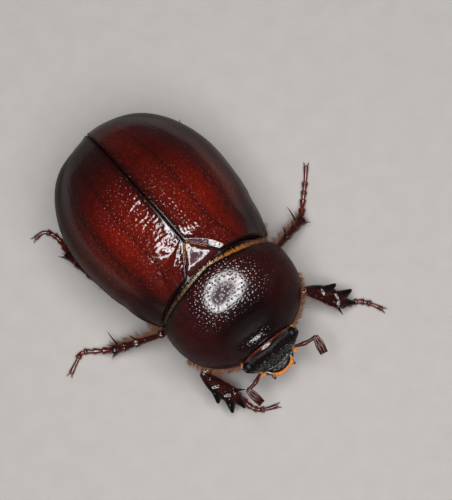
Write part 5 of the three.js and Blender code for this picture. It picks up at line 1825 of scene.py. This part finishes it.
def ring_beds(skin, ring_y, start, count, seed):
    """One row of bristles across an abdomen ring, just ahead of where the next one starts."""
    columns = np.random.default_rng(seed).integers(12, BELLY_COLUMNS - 12, count)
    rows = np.abs(ring_y[:, columns] - (start - 0.3)).argmin(0)
    out = grid_normals(skin, True)[rows, columns]
    return [bed(skin[rows, columns], np.array((0, 1.0, 0)) + 0.45 * out, 0.4, 0.12, seed + 1, 0.6, -out)]


hind_beds = skin_beds(thorax_skin, 1700, 121, 0.5, (0, 1.0, 0))
for k, start in enumerate(STERNITES[1:-1]):
    hind_beds += ring_beds(abdomen_skin, ring_y, start, 90, 131 + 2 * k)
tail = [(x, TRUNK.end_y - 0.12 * x**2, 4.75) for x in np.linspace(-2, 2, 30)]
hind_beds.append(fringe(tail, 160, (145, 146), (0, 0.8, -0.5), length=0.4, stray=0.08, shortest=0.5))
for side in (LEFT, RIGHT):
    flank = [(4.9 * side, -0.55, 4.6), (5.3 * side, -0.2, 4.3), (5.6 * side, 0.6, 4.1)]
    lie = (0.9 * side, -0.35, -0.1)
    hind_beds.append(fringe(flank, 260, (147 + side, 149), lie, 0.75, stray=0.15, spread=0.3, shortest=0.5))
hair_piece("underside_coat", hind_beds, brown_hair, HIND_PLACE, {"Slimness": 0.03, "Curl": 0.2})
fore_beds = skin_beds(prothorax_skin, 800, 151, 0.45, (0, 0.8, -0.1))
hair_piece("forebody_coat", fore_beds, brown_hair, FORE_PLACE, {"Slimness": 0.03, "Curl": 0.2})

# %% [markdown]
# ## Floor, light and camera
# The floor is one pale matte sheet. Daylight is a dim grey dome, brighter low down, so that the armour's top
# stays deep red while its sides pick up a soft sheen. The key light is a ring of small round lamps about the
# camera's axis. A ring lights evenly from all round with soft short shadows, and shows in gloss as a pale
# ring. One dim wide lamp inside it fills the ring with a faint violet. Both stay where they are when the
# camera is moved to look from another side. A soft sun that only lights the floor keeps it pale all over.

# %% Floor
floor_finish, tree = new_material("pale matte floor")
place = add(tree, "ShaderNodeTexCoord").outputs["Object"]
fibres = add(tree, "ShaderNodeTexNoise", {"Vector": place, "Scale": per_metre(1.5), "Detail": 4.0})
tone = add(tree, "ShaderNodeValToRGB", {0: fibres.outputs["Fac"]}, stops=[(0.3, "#625f5c"), (0.7, "#656260")])
sheet = add(tree, "ShaderNodeBsdfPrincipled", {"Base Color": tone, "Roughness": 0.9})
add(tree, "ShaderNodeOutputMaterial", {0: sheet})
floor_mesh = bpy.data.meshes.new("floor")
FLOOR_HALF = 0.6
corners = [(-FLOOR_HALF, -FLOOR_HALF, 0), (FLOOR_HALF, -FLOOR_HALF, 0), (FLOOR_HALF, FLOOR_HALF, 0)]
floor_mesh.from_pydata(corners + [(-FLOOR_HALF, FLOOR_HALF, 0)], [], [(0, 1, 2, 3)])
floor_mesh.materials.append(floor_finish)
floor = put_in_scene("floor", floor_mesh)
floor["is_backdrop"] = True

# %% Camera
CAMERA = Sizes(distance=170.0, lean=8.0, tilt=4.0, turn=48.7, aim=(1.94, -0.15, 10.1), lens=164.0, sensor=36.0)
lean, tilt, turn = (degrees * RAD for degrees in (CAMERA.lean, CAMERA.tilt, CAMERA.turn))
forward = Vector((math.sin(tilt) * math.cos(lean), math.sin(lean), -math.cos(lean) * math.cos(tilt)))
forward.normalize()
level_right = Vector((math.sin(turn), -math.cos(turn), 0))
right_way = (level_right - forward * level_right.dot(forward)).normalized()
up_way = right_way.cross(forward)
aim = Vector(CAMERA.aim) + SHIFT
camera_data = bpy.data.cameras.new("camera")
camera_data.lens = CAMERA.lens
camera_data.sensor_width = CAMERA.sensor
camera_data.clip_start = 0.01
camera = put_in_scene("camera", camera_data)
turned = Matrix((right_way, up_way, -forward)).transposed().to_4x4()
camera.matrix_world = Matrix.Translation((aim - forward * CAMERA.distance) * MM) @ turned
bpy.context.scene.camera = camera
print("camera at", [round(c, 4) for c in camera.location])

# %% Lights
RING = Sizes(lamps=16, radius=42.0, lamp_radius=13.0, height=96.0, watts=0.0168, right=7.5, down=4.5)
GLOW = Sizes(radius=30.0, watts=0.0115, colour="#cdc2e6")
ring_centre = aim - forward * RING.height + right_way * RING.right - up_way * RING.down


def round_lamp(name, place, radius, watts, colour="#ffffff"):
    """A round lamp of soft light that looks at the camera's aim, and that the camera doesn't see."""
    data = bpy.data.lights.new(name, "AREA")
    data.shape = "DISK"
    data.size = 2 * radius * MM
    data.energy = watts
    data.color = linear(colour)[:3]
    lamp = put_in_scene(name, data)
    towards_aim = (place - aim).to_track_quat("Z", "Y").to_matrix().to_4x4()
    lamp.matrix_world = Matrix.Translation(place * MM) @ towards_aim
    lamp.visible_camera = False


for k in range(RING.lamps):
    angle = 2 * math.pi * k / RING.lamps
    away = right_way * math.cos(angle) + up_way * math.sin(angle)
    round_lamp(f"ring_lamp_{k}", ring_centre + away * RING.radius, RING.lamp_radius, RING.watts)
round_lamp("glow_inside_the_ring", ring_centre, GLOW.radius, GLOW.watts, GLOW.colour)

# the ring's light fades a few hand widths away, so a wide soft sun keeps the rest of the floor pale
FLOOR_SUN = Sizes(strength=6.0, angle=60.0)
data = bpy.data.lights.new("floor_sun", "SUN")
data.energy = FLOOR_SUN.strength
data.angle = FLOOR_SUN.angle * RAD
sun = put_in_scene("floor_sun", data)
lit = bpy.data.collections.new("lit by the sun")
lit.objects.link(floor)
sun.light_linking.receiver_collection = lit

world = bpy.data.worlds.new("daylight")
world.use_nodes = True
tree = world.node_tree
tree.nodes.clear()
direction = add(tree, "ShaderNodeTexCoord").outputs["Generated"]
height = add(tree, "ShaderNodeSeparateXYZ", {0: direction}).outputs[2]
sky = add(
    tree, "ShaderNodeValToRGB", {0: height},
    stops=[(0.0, "#b9b9b9"), (0.25, "#9a9b9c"), (0.55, "#515356"), (0.8, "#2a2b2d"), (1.0, "#202123")],
)
dome = add(tree, "ShaderNodeBackground", {0: sky, 1: 0.3})
add(tree, "ShaderNodeOutputWorld", {0: dome})
bpy.context.scene.world = world
bpy.context.scene.view_settings.view_transform = "Standard"

# %% The two boxes, of the imported solids and of the finished model
new_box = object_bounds()
boxes = {"cad": cad_box, "visual": new_box}
{key: [list(corner) for corner in box] for key, box in boxes.items()}
print("box of the finished model, in mm:", [[round(c / MM, 2) for c in corner] for corner in new_box])
